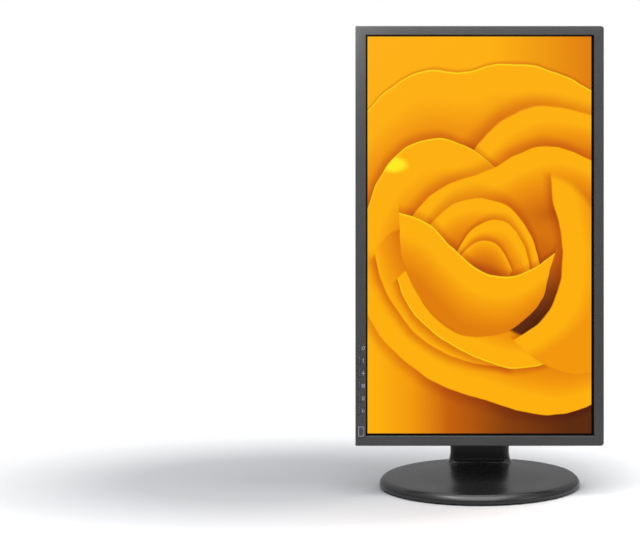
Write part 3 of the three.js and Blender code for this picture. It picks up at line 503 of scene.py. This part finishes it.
DARK_PRINT = moulded_plastic("printed_symbol", linear(30, 30, 32), 0.5, 1500, 0.01 * MM)

SLOT_OF = {row["node"]: row["material_slot"] for row in frame["record"]["subparts"]}
BODIES = frame["record"]["behaviour"]["bodies"]
BODY_OF = {name: body for body, names in BODIES.items() for name in names}

# ---- mesh code


def quarter_turn(steps):
    return [0.5 * math.pi * step / steps for step in range(steps + 1)]


def rounded(x, z, radii, steps=8):
    """A rectangle's outline; radii run bottom left, bottom right, top right, top left."""
    low_left, low_right, high_right, high_left = radii if isinstance(radii, list) else [radii] * 4
    corners = (
        (x[0] + low_left, z[0] + low_left, low_left, math.pi),
        (x[1] - low_right, z[0] + low_right, low_right, 1.5 * math.pi),
        (x[1] - high_right, z[1] - high_right, high_right, 0),
        (x[0] + high_left, z[1] - high_left, high_left, 0.5 * math.pi),
    )
    points = []
    for centre_x, centre_z, radius, start in corners:
        for turn in quarter_turn(steps):
            angle = start + turn
            points.append((centre_x + radius * math.cos(angle), centre_z + radius * math.sin(angle)))
    return points


def oblong(half_width, half_height, radii):
    return rounded((-half_width, half_width), (-half_height, half_height), radii)


def face_of(low, high, inset, radius, steps=8):
    """A box's outline seen from the front, drawn in by inset."""
    return rounded((low.x + inset, high.x - inset), (low.z + inset, high.z - inset), radius, steps)


def circle(radius, steps):
    turns = [2 * math.pi * step / steps for step in range(steps)]
    return [(radius * math.cos(turn), radius * math.sin(turn)) for turn in turns]


def deep(outline, y):
    """An outline drawn in the xz plane, at depth y."""
    return [(x, y, z) for x, z in outline]


def level(outline, z):
    """An outline drawn in the xy plane, at height z."""
    return [(x, y, z) for x, y in outline]


def along_y(outline, y):
    """The end rings of a prism between two depths."""
    return [deep(outline, y[0]), deep(outline, y[1])]


def along_z(outline, z):
    """The end rings of a prism between two heights."""
    return [level(outline, z[0]), level(outline, z[1])]


def quarter(radius, steps, convex=True):
    """(inward, onward) pairs of a quarter round from a wall (0, 0) to (radius, radius)."""
    for angle in quarter_turn(steps):
        if convex:
            yield radius * (1 - math.cos(angle)), radius * math.sin(angle)
        else:
            yield radius * math.sin(angle), radius * (1 - math.cos(angle))


def made_object(name, mesh, matrix):
    bmesh.ops.recalc_face_normals(mesh, faces=mesh.faces)
    data = bpy.data.meshes.new(name)
    mesh.to_mesh(data)
    mesh.free()
    piece = link(bpy.data.objects.new(name, data))
    piece.matrix_world = matrix
    return piece


def skin(name, rings, matrix=UPRIGHT, looped=False):
    """A closed surface through rings of equal point counts; looped joins the last ring to the first."""
    mesh = bmesh.new()
    add_skin(mesh, rings, looped)
    return made_object(name, mesh, matrix)


def add_bands(mesh, pairs):
    """Joins each pair of rings of vertices with a band of faces."""
    for low, high in pairs:
        for index in range(len(low)):
            after = (index + 1) % len(low)
            mesh.faces.new((low[index], low[after], high[after], high[index]))


def add_skin(mesh, rings, looped=False):
    layers = [[mesh.verts.new(point) for point in ring] for ring in rings]
    pairs = list(zip(layers, layers[1:]))
    if looped:
        pairs.append((layers[-1], layers[0]))
    else:
        mesh.faces.new(reversed(layers[0]))
        mesh.faces.new(layers[-1])
    add_bands(mesh, pairs)


def lathe(name, profile, matrix, steps):
    """A turned solid about z; profile is (radius, height) pairs that start and end on the axis."""
    mesh = bmesh.new()
    layers = [
        [mesh.verts.new(point) for point in level(circle(radius, steps), height)]
        for radius, height in profile[1:-1]
    ]
    add_bands(mesh, zip(layers, layers[1:]))
    for layer, (_, height) in ((layers[0], profile[0]), (layers[-1], profile[-1])):
        tip = mesh.verts.new((0, 0, height))
        for index in range(steps):
            mesh.faces.new((layer[index], layer[(index + 1) % steps], tip))
    return made_object(name, mesh, matrix)


def combine(piece, operation, tools):
    """Joins or cuts a piece with other objects, which are used up."""
    for tool in tools:
        modifier = piece.modifiers.new("combine", "BOOLEAN")
        modifier.operation = operation
        modifier.solver = "EXACT"
        modifier.object = tool
    bpy.context.view_layer.update()
    evaluated = piece.evaluated_get(bpy.context.evaluated_depsgraph_get())
    data = bpy.data.meshes.new_from_object(evaluated)
    piece.modifiers.clear()
    piece.data = data
    for tool in tools:
        bpy.data.objects.remove(tool)


SHARP = math.radians(30)  # shading breaks at edges that turn by more
BEVELLED = math.radians(35)  # and soften() rounds off those that turn by more than this


def soften(piece, width, segments=2):
    """Rounds off every sharp edge."""
    modifier = piece.modifiers.new("edges", "BEVEL")
    modifier.width = width
    modifier.segments = segments
    modifier.limit_method = "ANGLE"
    modifier.angle_limit = BEVELLED
    modifier.harden_normals = True
    modifier.use_clamp_overlap = True
    modifier.miter_outer = "MITER_ARC"


def smooth(piece):
    piece.data.polygons.foreach_set("use_smooth", [True] * len(piece.data.polygons))
    piece.data.set_sharp_from_angle(angle=SHARP)


def finish(piece, node):
    """Gives a new piece the CAD node's finish and body, and hides the node."""
    piece.data.materials.clear()
    piece.data.materials.append(LOOKS[SLOT_OF[node]])
    smooth(piece)
    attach(piece, BODY_OF[node])
    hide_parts(node)


def trim(piece, body, look):
    """Finishes a small piece that is only part of the looks."""
    piece.data.materials.append(look)
    smooth(piece)
    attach(piece, body)


# ---- panel casing

OPENING = {"left": -268.15 * MM, "right": 267.15 * MM, "bottom": -151.9 * MM, "top": 153 * MM}
BEZEL_WALL = 2.2 * MM
TOP_CORNER = 4 * MM
BOTTOM_CORNER = 1.5 * MM
LEAST_CORNER = 0.2 * MM
OPENING_CORNER = 0.4 * MM
RIM_DEPTH = 22 * MM
BOX_SLACK = 0.09 * MM  # keeps the leaning casing's box under the CAD's top


def panel_outline(shrink):
    _, high = local_box("front_bezel", PANEL)
    bottom = max(BOTTOM_CORNER - shrink, LEAST_CORNER)
    top = max(TOP_CORNER - shrink, LEAST_CORNER)
    return oblong(high.x - BOX_SLACK - shrink, high.z - shrink, [bottom, bottom, top, top])


def opening_outline(shrink):
    x = (OPENING["left"] + shrink, OPENING["right"] - shrink)
    z = (OPENING["bottom"] + shrink, OPENING["top"] - shrink)
    return rounded(x, z, OPENING_CORNER)


KEYS = [f"menu_key_{index}" for index in range(1, 7)] + ["power_key"]
KEY_CORNER = 1 * MM
KEY_FLANGE = 0.9 * MM  # how far it stands out round the cap, behind the bezel
KEY_FLANGE_FRONT = 2.6 * MM


def key_cap_box(name):
    """The visible cap of a key: the CAD node's box without its flange."""
    low, high = local_box(name, PANEL)
    low.x += KEY_FLANGE
    high.x -= KEY_FLANGE
    if name != "power_key":
        low.z += KEY_FLANGE
        high.z -= KEY_FLANGE
    return low, high


def key_windows():
    outlines = [face_of(*key_cap_box(name), -GAP, KEY_CORNER, 5) for name in KEYS]
    return [skin("window", along_y(outline, (-PAST, BEZEL_WALL + PAST)), PANEL) for outline in outlines]


def front_bezel():
    _, high = local_box("front_bezel", PANEL)
    edge = 1.3 * MM
    back_edge = 0.25 * MM
    lip_round = 0.35 * MM
    lip_slope = 0.25 * MM
    rings = [deep(panel_outline(back_edge), high.y), deep(panel_outline(0), high.y - back_edge)]
    rings += [deep(panel_outline(inward), edge - onward) for inward, onward in quarter(edge, 6)]
    lip = quarter(lip_round, 4, convex=False)
    rings += [deep(opening_outline(onward - lip_round), inward) for inward, onward in lip]
    rings += [
        deep(opening_outline(lip_slope), BEZEL_WALL),
        deep(panel_outline(BEZEL_WALL), BEZEL_WALL),
        deep(panel_outline(BEZEL_WALL), high.y),
    ]
    piece = skin("front_bezel_shell", rings, PANEL, looped=True)
    combine(piece, "DIFFERENCE", key_windows())
    finish(piece, "front_bezel")


BUMP = {  # the raised middle of the back: half width, half height, corner and, at its foot, depth
    "foot": mm(176, 106, 14, 30),
    "back": mm(162, 101, 12),
}
COVER_DEPTH = 58 * MM
COVER_EDGE = {"rim": 3 * MM, "face": 4 * MM}
COVER_WALL = 2.4 * MM
SLOPE = [(0.9, 0.82), (0.95, 0.9), (0.985, 0.99), (1.0, 1.15)]  # shares of the way in and of the rise
RECESS = {"half": 60 * MM, "floor": 50 * MM, "corner": 5 * MM, "boss_corner": 7 * MM}
VENTS = {"count": 15, "pitch": 18 * MM, "half": 1.5 * MM}
VENT = {"y": mm(35, 49), "z": mm(88, 120), "corner": 1.4 * MM}
SOCKET_WINDOWS = [  # across and deep, in millimetres
    ((-138.5, -109.5), (32, 53)), ((19.5, 58.5), (31.5, 45.5)), ((69.5, 101.5), (31.5, 45.5)),
    ((114.5, 124.5), (31.5, 41.5)),
]
WINDOW = {"z": mm(-112, -96), "corner": 1.2 * MM}
LOCK_SLOT = {"x": mm(164.5, 171.5), "y": mm(36, 48), "z": mm(-61.5, -58.5), "corner": 0.8 * MM}
BOLT_HOLE = {"reach": 50 * MM, "radius": 2.3 * MM, "y": mm(40, 60)}


def mixed(first, second, share):
    """The outline that is a share of the way from the first to the second."""
    return [(a[0] + (b[0] - a[0]) * share, a[1] + (b[1] - a[1]) * share) for a, b in zip(first, second)]


def cover_rings(shrink, front):
    rim_round, face_round = COVER_EDGE["rim"], COVER_EDGE["face"]
    rim_inner = panel_outline(rim_round + shrink)
    foot_x, foot_z, foot_corner, foot_y = BUMP["foot"]
    back_x, back_z, back_corner = BUMP["back"]
    foot = oblong(foot_x - shrink, foot_z - shrink, foot_corner)
    back = oblong(back_x - shrink, back_z - shrink, back_corner)
    rim_y = RIM_DEPTH - shrink
    rings = [deep(panel_outline(shrink), front)]
    rings += [
        deep(panel_outline(shrink + inward), rim_y - rim_round + onward)
        for inward, onward in quarter(rim_round, 6)
    ]
    for share, rise in SLOPE:
        rings.append(deep(mixed(rim_inner, foot, share), rim_y + (foot_y - RIM_DEPTH) * rise))
    wall_end = COVER_DEPTH - shrink - face_round
    rings.append(deep(mixed(foot, back, 0.5), (rim_y + foot_y + wall_end) / 2 - RIM_DEPTH / 2))
    for inward, onward in quarter(face_round, 6):
        outline = oblong(back_x - shrink - inward, back_z - shrink - inward, back_corner - inward)
        rings.append(deep(outline, wall_end + onward))
    return rings


def box_tool(x, y, z, corner):
    """A cutter with rounded corners that runs along y."""
    return along_y(rounded(x, z, corner, 4), y)


def upright_tool(x, y, z, corner):
    """A cutter with rounded corners that runs along z."""
    return along_z(rounded(x, y, corner, 4), z)


def round_tool(x, z, radius, y):
    """A round cutter that runs along y."""
    return along_y([(x + across, z + up) for across, up in circle(radius, 24)], y)


def tools_object(cutters):
    mesh = bmesh.new()
    for rings in cutters:
        add_skin(mesh, rings)
    return made_object("tools", mesh, PANEL)


def rear_cover():
    low, high = local_box("rear_cover", PANEL)
    front = low.y
    piece = skin("rear_cover_shell", cover_rings(0, front), PANEL)
    combine(piece, "DIFFERENCE", [skin("hollow", cover_rings(COVER_WALL, front - PAST), PANEL)])
    half, floor_y = RECESS["half"], RECESS["floor"]
    boss = oblong(half + COVER_WALL, half + COVER_WALL, RECESS["boss_corner"])
    combine(piece, "UNION", [skin("boss", along_y(boss, (floor_y - COVER_WALL, high.y - PAST)), PANEL)])
    recess = box_tool((-half, half), (floor_y, high.y + PAST), (-half, half), RECESS["corner"])
    combine(piece, "DIFFERENCE", [skin("recess", recess, PANEL)])

    cutters = []
    for index in range(VENTS["count"]):
        middle = (index - (VENTS["count"] - 1) / 2) * VENTS["pitch"]
        cutters.append(upright_tool((middle - VENTS["half"], middle + VENTS["half"]), **VENT))
    cutters += [upright_tool(mm(*x), mm(*y), **WINDOW) for x, y in SOCKET_WINDOWS]
    cutters.append(box_tool(**LOCK_SLOT))
    reach = BOLT_HOLE["reach"]
    for x in (-reach, reach):
        for z in (-reach, reach):
            cutters.append(round_tool(x, z, BOLT_HOLE["radius"], BOLT_HOLE["y"]))
    combine(piece, "DIFFERENCE", [tools_object(cutters)])
    finish(piece, "rear_cover")


def screen_glass():
    low, high = local_box("screen_glass", PANEL)
    edge, corner = 0.25 * MM, 1 * MM
    rings = [
        deep(face_of(low, high, edge - inward, corner), low.y + edge - onward)
        for inward, onward in quarter(edge, 3)
    ]
    rings = rings[::-1] + [deep(face_of(low, high, 0, corner), high.y)]
    finish(skin("screen_glass_film", rings, PANEL), "screen_glass")


# ---- keys


KEY_CROWN = [(1.5, 0), (0.9, 0.03), (0.45, 0.1), (0.15, 0.25), (0, 0.5)]  # in and down, in millimetres
POWER_STEM = {"front": 1.4 * MM, "inset": 1 * MM, "low": 0.4 * MM, "top": -157.2 * MM, "corner": 0.5 * MM}


def key(name):
    low, high = key_cap_box(name)
    full_low, full_high = local_box(name, PANEL)
    rings = []
    for inward, down in KEY_CROWN:
        corner = max(KEY_CORNER - inward * MM, LEAST_CORNER)
        rings.append(deep(face_of(low, high, inward * MM, corner, 5), low.y + down * MM))
    cap = face_of(low, high, 0, KEY_CORNER, 5)
    if name == "power_key":
        front, inset, corner = POWER_STEM["front"], POWER_STEM["inset"], POWER_STEM["corner"]
        rise = (low.z + POWER_STEM["low"], POWER_STEM["top"])
        stem = rounded((low.x + inset, high.x - inset), rise, corner, 5)
        flange = rounded((full_low.x, full_high.x), rise, corner, 5)
        rings += [deep(cap, front), deep(stem, front), deep(stem, KEY_FLANGE_FRONT)]
    else:
        flange = face_of(full_low, full_high, 0, KEY_CORNER, 5)
        rings.append(deep(cap, KEY_FLANGE_FRONT))
    rings += [deep(flange, KEY_FLANGE_FRONT), deep(flange, full_high.y)]
    finish(skin(f"{name}_cap", rings, PANEL), name)


# The marks printed beside the menu keys are plain shapes: each is a list of bars (x, z, half width,
# half height) in millimetres from the mark's middle, in key order.
MARK_HEIGHT = -155.2 * MM
INK = {"front": -0.03 * MM, "sunk": 0.3 * MM, "line": 0.55 * MM, "corner": 0.12 * MM}
POWER_MARK = {
    "inset": 0.9 * MM, "corner": 0.5 * MM, "radius": 1.9 * MM, "half_gap": math.radians(32), "steps": 20,
    "bar": mm(0.4, 2.3),
}
MARKS = [
    [(-1.9, 0, 0.35, 1.9), (1.9, 0, 0.35, 1.9), (0, 1.55, 2.25, 0.35), (0, -1.55, 2.25, 0.35)],
    [(0, 0, 2.7, 0.4)],
    [(0, 0, 2.7, 0.4), (0, 1.3, 0.4, 1.1), (0, -1.3, 0.4, 1.1)],
    [(0, 1.55, 2.7, 0.35), (0, 0, 2.7, 0.35), (0, -1.55, 2.7, 0.35)],
    [(-1.9, 0, 0.35, 1.9), (0, 0, 0.35, 1.9), (1.9, 0, 0.35, 1.9)],
    [(0, 1.1, 1.3, 0.35), (0, -1.1, 2.3, 0.35)],
]


def ink_bar(x, z, half_x, half_z):
    outline = rounded((x - half_x, x + half_x), (z - half_z, z + half_z), INK["corner"], 3)
    return along_y(outline, (INK["front"], INK["sunk"]))


def key_marks():
    mesh = bmesh.new()
    for index, bars in enumerate(MARKS):
        low, high = key_cap_box(f"menu_key_{index + 1}")
        middle = (low.x + high.x) / 2
        for x, z, half_x, half_z in bars:
            add_skin(mesh, ink_bar(middle + x * MM, MARK_HEIGHT + z * MM, half_x * MM, half_z * MM))
    trim(made_object("key_marks", mesh, PANEL), "panel", PRINT)


def power_mark():
    """A light outline round the power key's cap and the usual broken ring with a bar on it."""
    low, high = key_cap_box("power_key")
    middle = (low + high) / 2
    front, sunk = low.y + INK["front"], low.y + INK["sunk"]
    insets = (POWER_MARK["inset"], POWER_MARK["inset"] + INK["line"])
    edges = [face_of(low, high, inset, POWER_MARK["corner"], 4) for inset in insets]
    rings = [deep(edges[0], front), deep(edges[0], sunk), deep(edges[1], sunk), deep(edges[1], front)]
    trim(skin("power_key_outline", rings, PANEL, looped=True), "power_key", PRINT)

    radius, half_gap, steps = POWER_MARK["radius"], POWER_MARK["half_gap"], POWER_MARK["steps"]
    sweep = 2 * math.pi - 2 * half_gap
    angles = [math.pi / 2 + half_gap + sweep * step / steps for step in range(steps + 1)]
    ring = [(middle.x + size * math.cos(angle), middle.z + size * math.sin(angle))
            for size, run in ((radius, angles), (radius - INK["line"], angles[::-1])) for angle in run]
    bar = [middle.z + height for height in POWER_MARK["bar"]]
    bar = rounded((middle.x - INK["line"] / 2, middle.x + INK["line"] / 2), bar, INK["corner"], 3)
    mesh = bmesh.new()
    for outline in (ring, bar):
        add_skin(mesh, along_y(outline, (front, sunk)))
    trim(made_object("power_key_symbol", mesh, PANEL), "power_key", DARK_PRINT)


# ---- foot

FOOT_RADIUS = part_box("foot_shell")[1].x
FOOT_BOTTOM = 2 * MM
FOOT_WALL = 2.4 * MM
CROWN = [  # the upper face's radius and height, in millimetres
    (129.6, 13.8), (124, 14.65), (118, 15.2), (106, 15.75), (92, 16.8), (84, 17.8), (75, 18.8), (66, 19.45),
    (55, 19.9), (40, 20.3), (25, 20.6), (12, 20.75), (0, 20.8),
]
FOOT_SEGMENTS = 192
RIM = {  # power 1 would make it a circle's arc
    "shoulder": 5.4 * MM, "round": 8.4 * MM, "steps": 16, "power": 1.25, "wall": 3 * MM, "edge": 0.5 * MM,
}
COLLAR = {"flare": 7 * MM, "lip": 0.9 * MM, "top": 26.4 * MM, "steps": 8}
WELL_TOP = 60 * MM


def crown(radius):
    """How high the foot's upper face is at a radius."""
    points = [(r * MM, z * MM) for r, z in CROWN]
    radius = min(radius, points[0][0])
    for outer, inner in zip(points, points[1:]):
        if radius >= inner[0]:
            share = (radius - inner[0]) / (outer[0] - inner[0])
            return inner[1] + (outer[1] - inner[1]) * share
    return points[-1][1]


def foot_profile():
    """Radius and height, from the middle of the hollow underside round the rim to the crown's top."""
    wall, edge, shoulder = FOOT_RADIUS - RIM["wall"], RIM["edge"], RIM["shoulder"]
    under = [(r * MM, z * MM - FOOT_WALL) for r, z in CROWN[2:][::-1]]
    rim = [(wall, shoulder), (wall, FOOT_BOTTOM), (FOOT_RADIUS - edge, FOOT_BOTTOM),
           (FOOT_RADIUS, FOOT_BOTTOM + edge)]
    for angle in quarter_turn(RIM["steps"]):
        out, up = abs(math.cos(angle)) ** RIM["power"], abs(math.sin(angle)) ** RIM["power"]
        rim.append((FOOT_RADIUS - RIM["round"] * (1 - out), shoulder + RIM["round"] * up))
    return under + rim + [(r * MM, z * MM) for r, z in CROWN[1:]]


COLUMN = {
    "half": 41.5 * MM, "front": 60 * MM, "back": 104 * MM, "corner": 10 * MM, "wall": 2.2 * MM,
    "split": 84 * MM,
}


def column_outline(grow):
    half, corner = COLUMN["half"] + grow, COLUMN["corner"] + grow
    return rounded((-half, half), (COLUMN["front"] - grow, COLUMN["back"] + grow), corner, 10)


def collar_rings():
    """From inside the foot's wall up to the top of the flare round the column."""
    flare, lip, top = COLLAR["flare"], COLLAR["lip"], COLLAR["top"]
    base = column_outline(flare + lip)
    rings = [[(x, y, crown(math.hypot(x, y)) - FOOT_WALL / 2) for x, y in base]]
    for angle in quarter_turn(COLLAR["steps"]):
        rise = 1 - math.cos(angle)
        outline = column_outline(flare * (1 - math.sin(angle)) + lip)
        rings.append([(x, y, crown(math.hypot(x, y)) * (1 - rise) + top * rise) for x, y in outline])
    return rings


def foot_shell():
    piece = lathe("foot_shell_disc", foot_profile(), UPRIGHT, FOOT_SEGMENTS)
    combine(piece, "UNION", [skin("collar", collar_rings())])
    combine(piece, "DIFFERENCE", [skin("well", along_z(column_outline(GAP), (0, WELL_TOP)))])
    finish(piece, "foot_shell")


# ---- column

SLOT = {"half": 17 * MM, "rise": mm(226, 384), "corner": 3 * MM, "depth": 5 * MM}
BEYOND = {"x": (-0.2, 0.2), "front": -0.1, "back": 0.3, "z": (-0.1, 0.6)}  # clear of the column all round


def tube():
    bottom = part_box("column_front_cover")[0].z
    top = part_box("column_front_cover")[1].z
    edge = 0.4 * MM
    wall = COLUMN["wall"]
    rings = [
        level(column_outline(-edge), bottom), level(column_outline(0), bottom + edge),
        level(column_outline(0), top - edge), level(column_outline(-edge), top),
        level(column_outline(-wall), top), level(column_outline(-wall), bottom),
    ]
    return skin("tube", rings, looped=True)


def slab(front, back):
    return skin("slab", along_z(rounded(BEYOND["x"], (front, back), 0.01 * MM, 1), BEYOND["z"]))


def column_covers():
    split = COLUMN["split"]
    slot = rounded((-SLOT["half"], SLOT["half"]), SLOT["rise"], SLOT["corner"])
    slot = skin("slot", along_y(slot, (COLUMN["front"] - PAST, COLUMN["front"] + SLOT["depth"])))
    halves = {"front": [slab(split, BEYOND["back"]), slot], "back": [slab(BEYOND["front"], split + GAP)]}
    for half, cutters in halves.items():
        piece = tube()
        combine(piece, "DIFFERENCE", cutters)
        piece.name = f"column_{half}_shell"
        soften(piece, 0.35 * MM)
        finish(piece, f"column_{half}_cover")


def column_cap():
    low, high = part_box("column_top_cap")
    cover_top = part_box("column_front_cover")[1].z
    plug = -COLUMN["wall"] - GAP
    chamfer, edge = 0.5 * MM, 3 * MM
    steps = [
        (plug - chamfer, low.z), (plug, low.z + chamfer), (plug, cover_top + GAP), (-GAP, cover_top + GAP),
        (0, cover_top + 2 * GAP),
    ]
    steps += [(-inward, high.z - edge + onward) for inward, onward in quarter(edge, 6)]
    finish(skin("column_cap", [level(column_outline(grow), z) for grow, z in steps]), "column_top_cap")


CLIP = {"outer": 15 * MM, "inner": 12.6 * MM, "pad": 2 * MM, "half_mouth": 4.5 * MM, "edge": 0.5 * MM}


def cable_clip():
    low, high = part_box("cable_clip")
    outer, inner = CLIP["outer"], CLIP["inner"]
    centre = high.y - outer
    pad_top = low.y + CLIP["pad"]
    pad_meet = math.acos((centre - pad_top) / outer)
    open_outer, open_inner = [math.asin(CLIP["half_mouth"] / radius) for radius in (outer, inner)]

    def arc(radius, start, end, steps):
        """Angles run from straight down, anticlockwise seen from above."""
        for step in range(steps + 1):
            angle = start + (end - start) * step / steps
            yield radius * math.sin(angle), centre - radius * math.cos(angle)

    outline = [(low.x, low.y), (high.x, low.y), (high.x, pad_top)]
    outline += arc(outer, pad_meet, math.pi - open_outer, 20)
    outline += arc(inner, math.pi - open_inner, -math.pi + open_inner, 40)
    outline += arc(outer, -math.pi + open_outer, -pad_meet, 20)
    outline.append((low.x, pad_top))
    piece = skin("cable_clip_loop", along_z(outline, (low.z, high.z)))
    soften(piece, CLIP["edge"], 3)
    finish(piece, "cable_clip")


# ---- tilt head


HEAD_WALL = 2


def head_cover():
    low, high = local_box("head_cover", HEAD)
    outer = [  # depth, then half width, half height and corner in millimetres
        (low.y, 40, 27, 8), (low.y + 4 * MM, 39.7, 26.8, 8), (76 * MM, 38, 25, 8), (88 * MM, 36.2, 22.3, 7.6),
        (high.y - 0.6 * MM, 34.1, 19.1, 7), (high.y, 33.6, 18.6, 6.6),
    ]
    inner = [(y, *(size - HEAD_WALL for size in sizes)) for y, *sizes in outer[::-1]]
    rings = [deep(oblong(x * MM, z * MM, r * MM), y) for y, x, z, r in outer + inner]
    finish(skin("head_cover_shell", rings, HEAD, looped=True), "head_cover")


# ---- screws

SCREW = {
    "shank": 2 * MM, "chamfer": 0.3 * MM, "head_depth": 2.4 * MM, "dome": 0.9 * MM, "arm": 2.1 * MM,
    "slot": 0.45 * MM, "recess": 1.3 * MM,
}


def plate_screw(name):
    """A pan-head screw with a cross recess, its axis along the panel's depth."""
    low, high = local_box(name, PANEL)
    middle, radius = (low + high) / 2, (high.x - low.x) / 2
    seat, shank, dome = high.y - SCREW["head_depth"], SCREW["shank"], SCREW["dome"]
    chamfer = SCREW["chamfer"]
    profile = [(0, low.y), (shank - chamfer, low.y), (shank, low.y + chamfer), (shank, seat), (radius, seat)]
    profile += [(radius - 2 * inward, high.y - dome + onward) for inward, onward in quarter(dome, 5)]
    profile.append((0, high.y))
    axis = Matrix.Translation((middle.x, 0, middle.z)) @ Matrix.Rotation(-math.pi / 2, 4, "X")
    piece = lathe(f"{name}_head", profile, PANEL @ axis, 32)
    arm, slot = SCREW["arm"], SCREW["slot"]
    quadrant = [(arm, -slot), (arm, slot), (slot, slot)]
    cross = []
    for _ in range(4):
        cross += [(middle.x + x, middle.z + z) for x, z in quadrant]
        quadrant = [(-z, x) for x, z in quadrant]
    recess = along_y(cross, (high.y - SCREW["recess"], high.y + PAST))
    combine(piece, "DIFFERENCE", [skin("cross", recess, PANEL)])
    finish(piece, name)


# ---- carried-over nodes

WELD_REACH = 0.001 * MM
SOFT_EDGES = {  # millimetres
    "pivot_plate": 0.5, "tilt_bracket": 0.8, "height_carriage": 0.8, "column_rail": 0.4,
    "turntable_plate": 0.3, "swivel_hub": 0.5, "foot_weight_plate": 0.5, "board_shield": 0.3,
    "module_back_tray": 0.2, "power_inlet": 0.4, "digital_video_socket": 0.3, "analogue_video_socket": 0.3,
    "sound_socket": 0.3,
}


def smooth_group():
    """Modifier nodes that shade a mesh smooth, except across its sharp edges."""
    group = bpy.data.node_groups.new("smooth_by_angle", "GeometryNodeTree")
    for way in ("INPUT", "OUTPUT"):
        group.interface.new_socket("Geometry", in_out=way, socket_type="NodeSocketGeometry")
    start = shade(group, "NodeGroupInput").outputs[0]
    faces = shade(group, "GeometryNodeSetShadeSmooth", {"Geometry": start}, domain="FACE")
    angle = shade(group, "GeometryNodeInputMeshEdgeAngle").outputs["Unsigned Angle"]
    gentle = shade(group, "FunctionNodeCompare", {0: angle, 1: SHARP}, operation="LESS_THAN")
    edges = shade(group, "GeometryNodeSetShadeSmooth", {
        "Geometry": faces.outputs[0], "Shade Smooth": gentle.outputs[0],
    }, domain="EDGE")
    shade(group, "NodeGroupOutput", {0: edges.outputs[0]})
    return group


def dull_picture():
    """Keeps the lit picture out of glossy reflections, so that the foot stays a plain dark grey."""
    nodes = frame["nodes"]
    for piece in (bpy.data.objects["screen_glass_film"], nodes["optical_sheets"], nodes["light_guide"]):
        piece.visible_glossy = False


def carried_over():
    """The CAD nodes whose shapes are right keep their meshes and take a finish and soft edges."""
    group = smooth_group()
    for name, piece in frame["nodes"].items():
        if piece.hide_render:
            continue
        piece.data.materials.clear()
        piece.data.materials.append(LOOKS[SLOT_OF[name]])
        piece.modifiers.new("joined", "WELD").merge_threshold = WELD_REACH
        piece.modifiers.new("shading", "NODES").node_group = group
        if name in SOFT_EDGES:
            soften(piece, SOFT_EDGES[name] * MM)


# ---- studio


def area_light(name, place, target, size, power):
    data = bpy.data.lights.new(name, "AREA")
    data.shape = "RECTANGLE"
    data.size, data.size_y = size
    data.energy = power
    light = link(bpy.data.objects.new(name, data))
    light.location = place
    light.rotation_euler = (Vector(target) - Vector(place)).to_track_quat("-Z", "Y").to_euler()
    return light


FLOOR_RADIUS = 3.0


def floor():
    mesh = bmesh.new()
    mesh.faces.new([mesh.verts.new(point) for point in level(circle(FLOOR_RADIUS, 96), 0)])
    piece = made_object("floor", mesh, UPRIGHT)
    material, tree, shader, place, output = new_material("floor")
    shader.inputs["Roughness"].default_value = 0.7
    shader.inputs["Specular IOR Level"].default_value = 0.2

    def away(middle, size):
        """How far a place is from the middle of an ellipse, in its half widths."""
        scale = (1 / size[0], 1 / size[1], 0)
        shift = (-middle[0] * scale[0], -middle[1] * scale[1], 0)
        return vector(tree, "LENGTH", vector(tree, "MULTIPLY_ADD", place, scale, shift)[0])["Value"]

    # Painted shadow: the floor's colour is grey in an ellipse left of the foot and pales towards its edge.
    tint = ramp(tree, away((-0.3, 0.04), (0.62, 0.48)), [
        (0, linear(148, 149, 151)), (0.3, linear(157, 158, 160)), (0.6, linear(188, 189, 191)),
        (0.95, linear(236, 237, 238)),
    ])
    tree.links.new(tint, shader.inputs["Base Color"])
    clear = shade(tree, "ShaderNodeBsdfTransparent")
    fade = spread(tree, away((-0.15, 0.0), (0.8, 0.55)), 0.4, 1.0, smooth=True)
    mix = shade(tree, "ShaderNodeMixShader", {0: fade, 1: shader.outputs[0], 2: clear.outputs[0]})
    tree.links.new(mix.outputs[0], output.inputs["Surface"])
    piece.data.materials.append(material)


def studio():
    world = bpy.data.worlds.new("studio")
    bpy.context.scene.world = world
    world.use_nodes = True
    tree = world.node_tree
    tree.nodes.clear()
    direction = shade(tree, "ShaderNodeTexCoord").outputs["Generated"]
    height = shade(tree, "ShaderNodeSeparateXYZ", {0: direction}).outputs[2]
    sky = ramp(tree, spread(tree, height, -1, 1), [
        (0.0, linear(118, 118, 118)), (0.5, linear(148, 148, 150)), (0.58, linear(164, 164, 166)),
        (0.68, linear(182, 182, 184)), (1, linear(240, 240, 241)),
    ])
    seen = shade(tree, "ShaderNodeLightPath").outputs["Is Camera Ray"]
    colour = blended(tree, seen, sky, (1, 1, 1, 1))
    background = shade(tree, "ShaderNodeBackground", {"Color": colour, "Strength": 1.0})
    shade(tree, "ShaderNodeOutputWorld", {"Surface": background.outputs[0]})
    bpy.context.scene.view_settings.view_transform = "Standard"
    middle = (0, 0, 0.3)
    area_light("overhead", place=(-0.1, -1.15, 2.0), target=(-0.1, -1.15, 0), size=(2.0, 2.3), power=59)
    area_light("key", place=(-1.6, -1.6, 2.0), target=middle, size=(1.2, 1.2), power=5)
    top_corner = (-0.15, -0.03, 0.62)
    area_light("near", place=(-0.3, -0.24, 0.75), target=top_corner, size=(0.08, 0.08), power=1.0)
    area_light("fill", place=(1.9, -1.2, 1.2), target=middle, size=(1.2, 1.6), power=6)
    back = area_light("back", place=(-0.5, 1.9, 1.3), target=middle, size=(2.2, 1.0), power=26)
    back.visible_glossy = False
    floor()


add_camera()
studio()
front_bezel()
rear_cover()
screen_glass()
for key_name in KEYS:
    key(key_name)
key_marks()
power_mark()
foot_shell()
column_covers()
column_cap()
cable_clip()
head_cover()
for screw_index in range(1, 5):
    plate_screw(f"plate_screw_{screw_index}")
carried_over()
dull_picture()
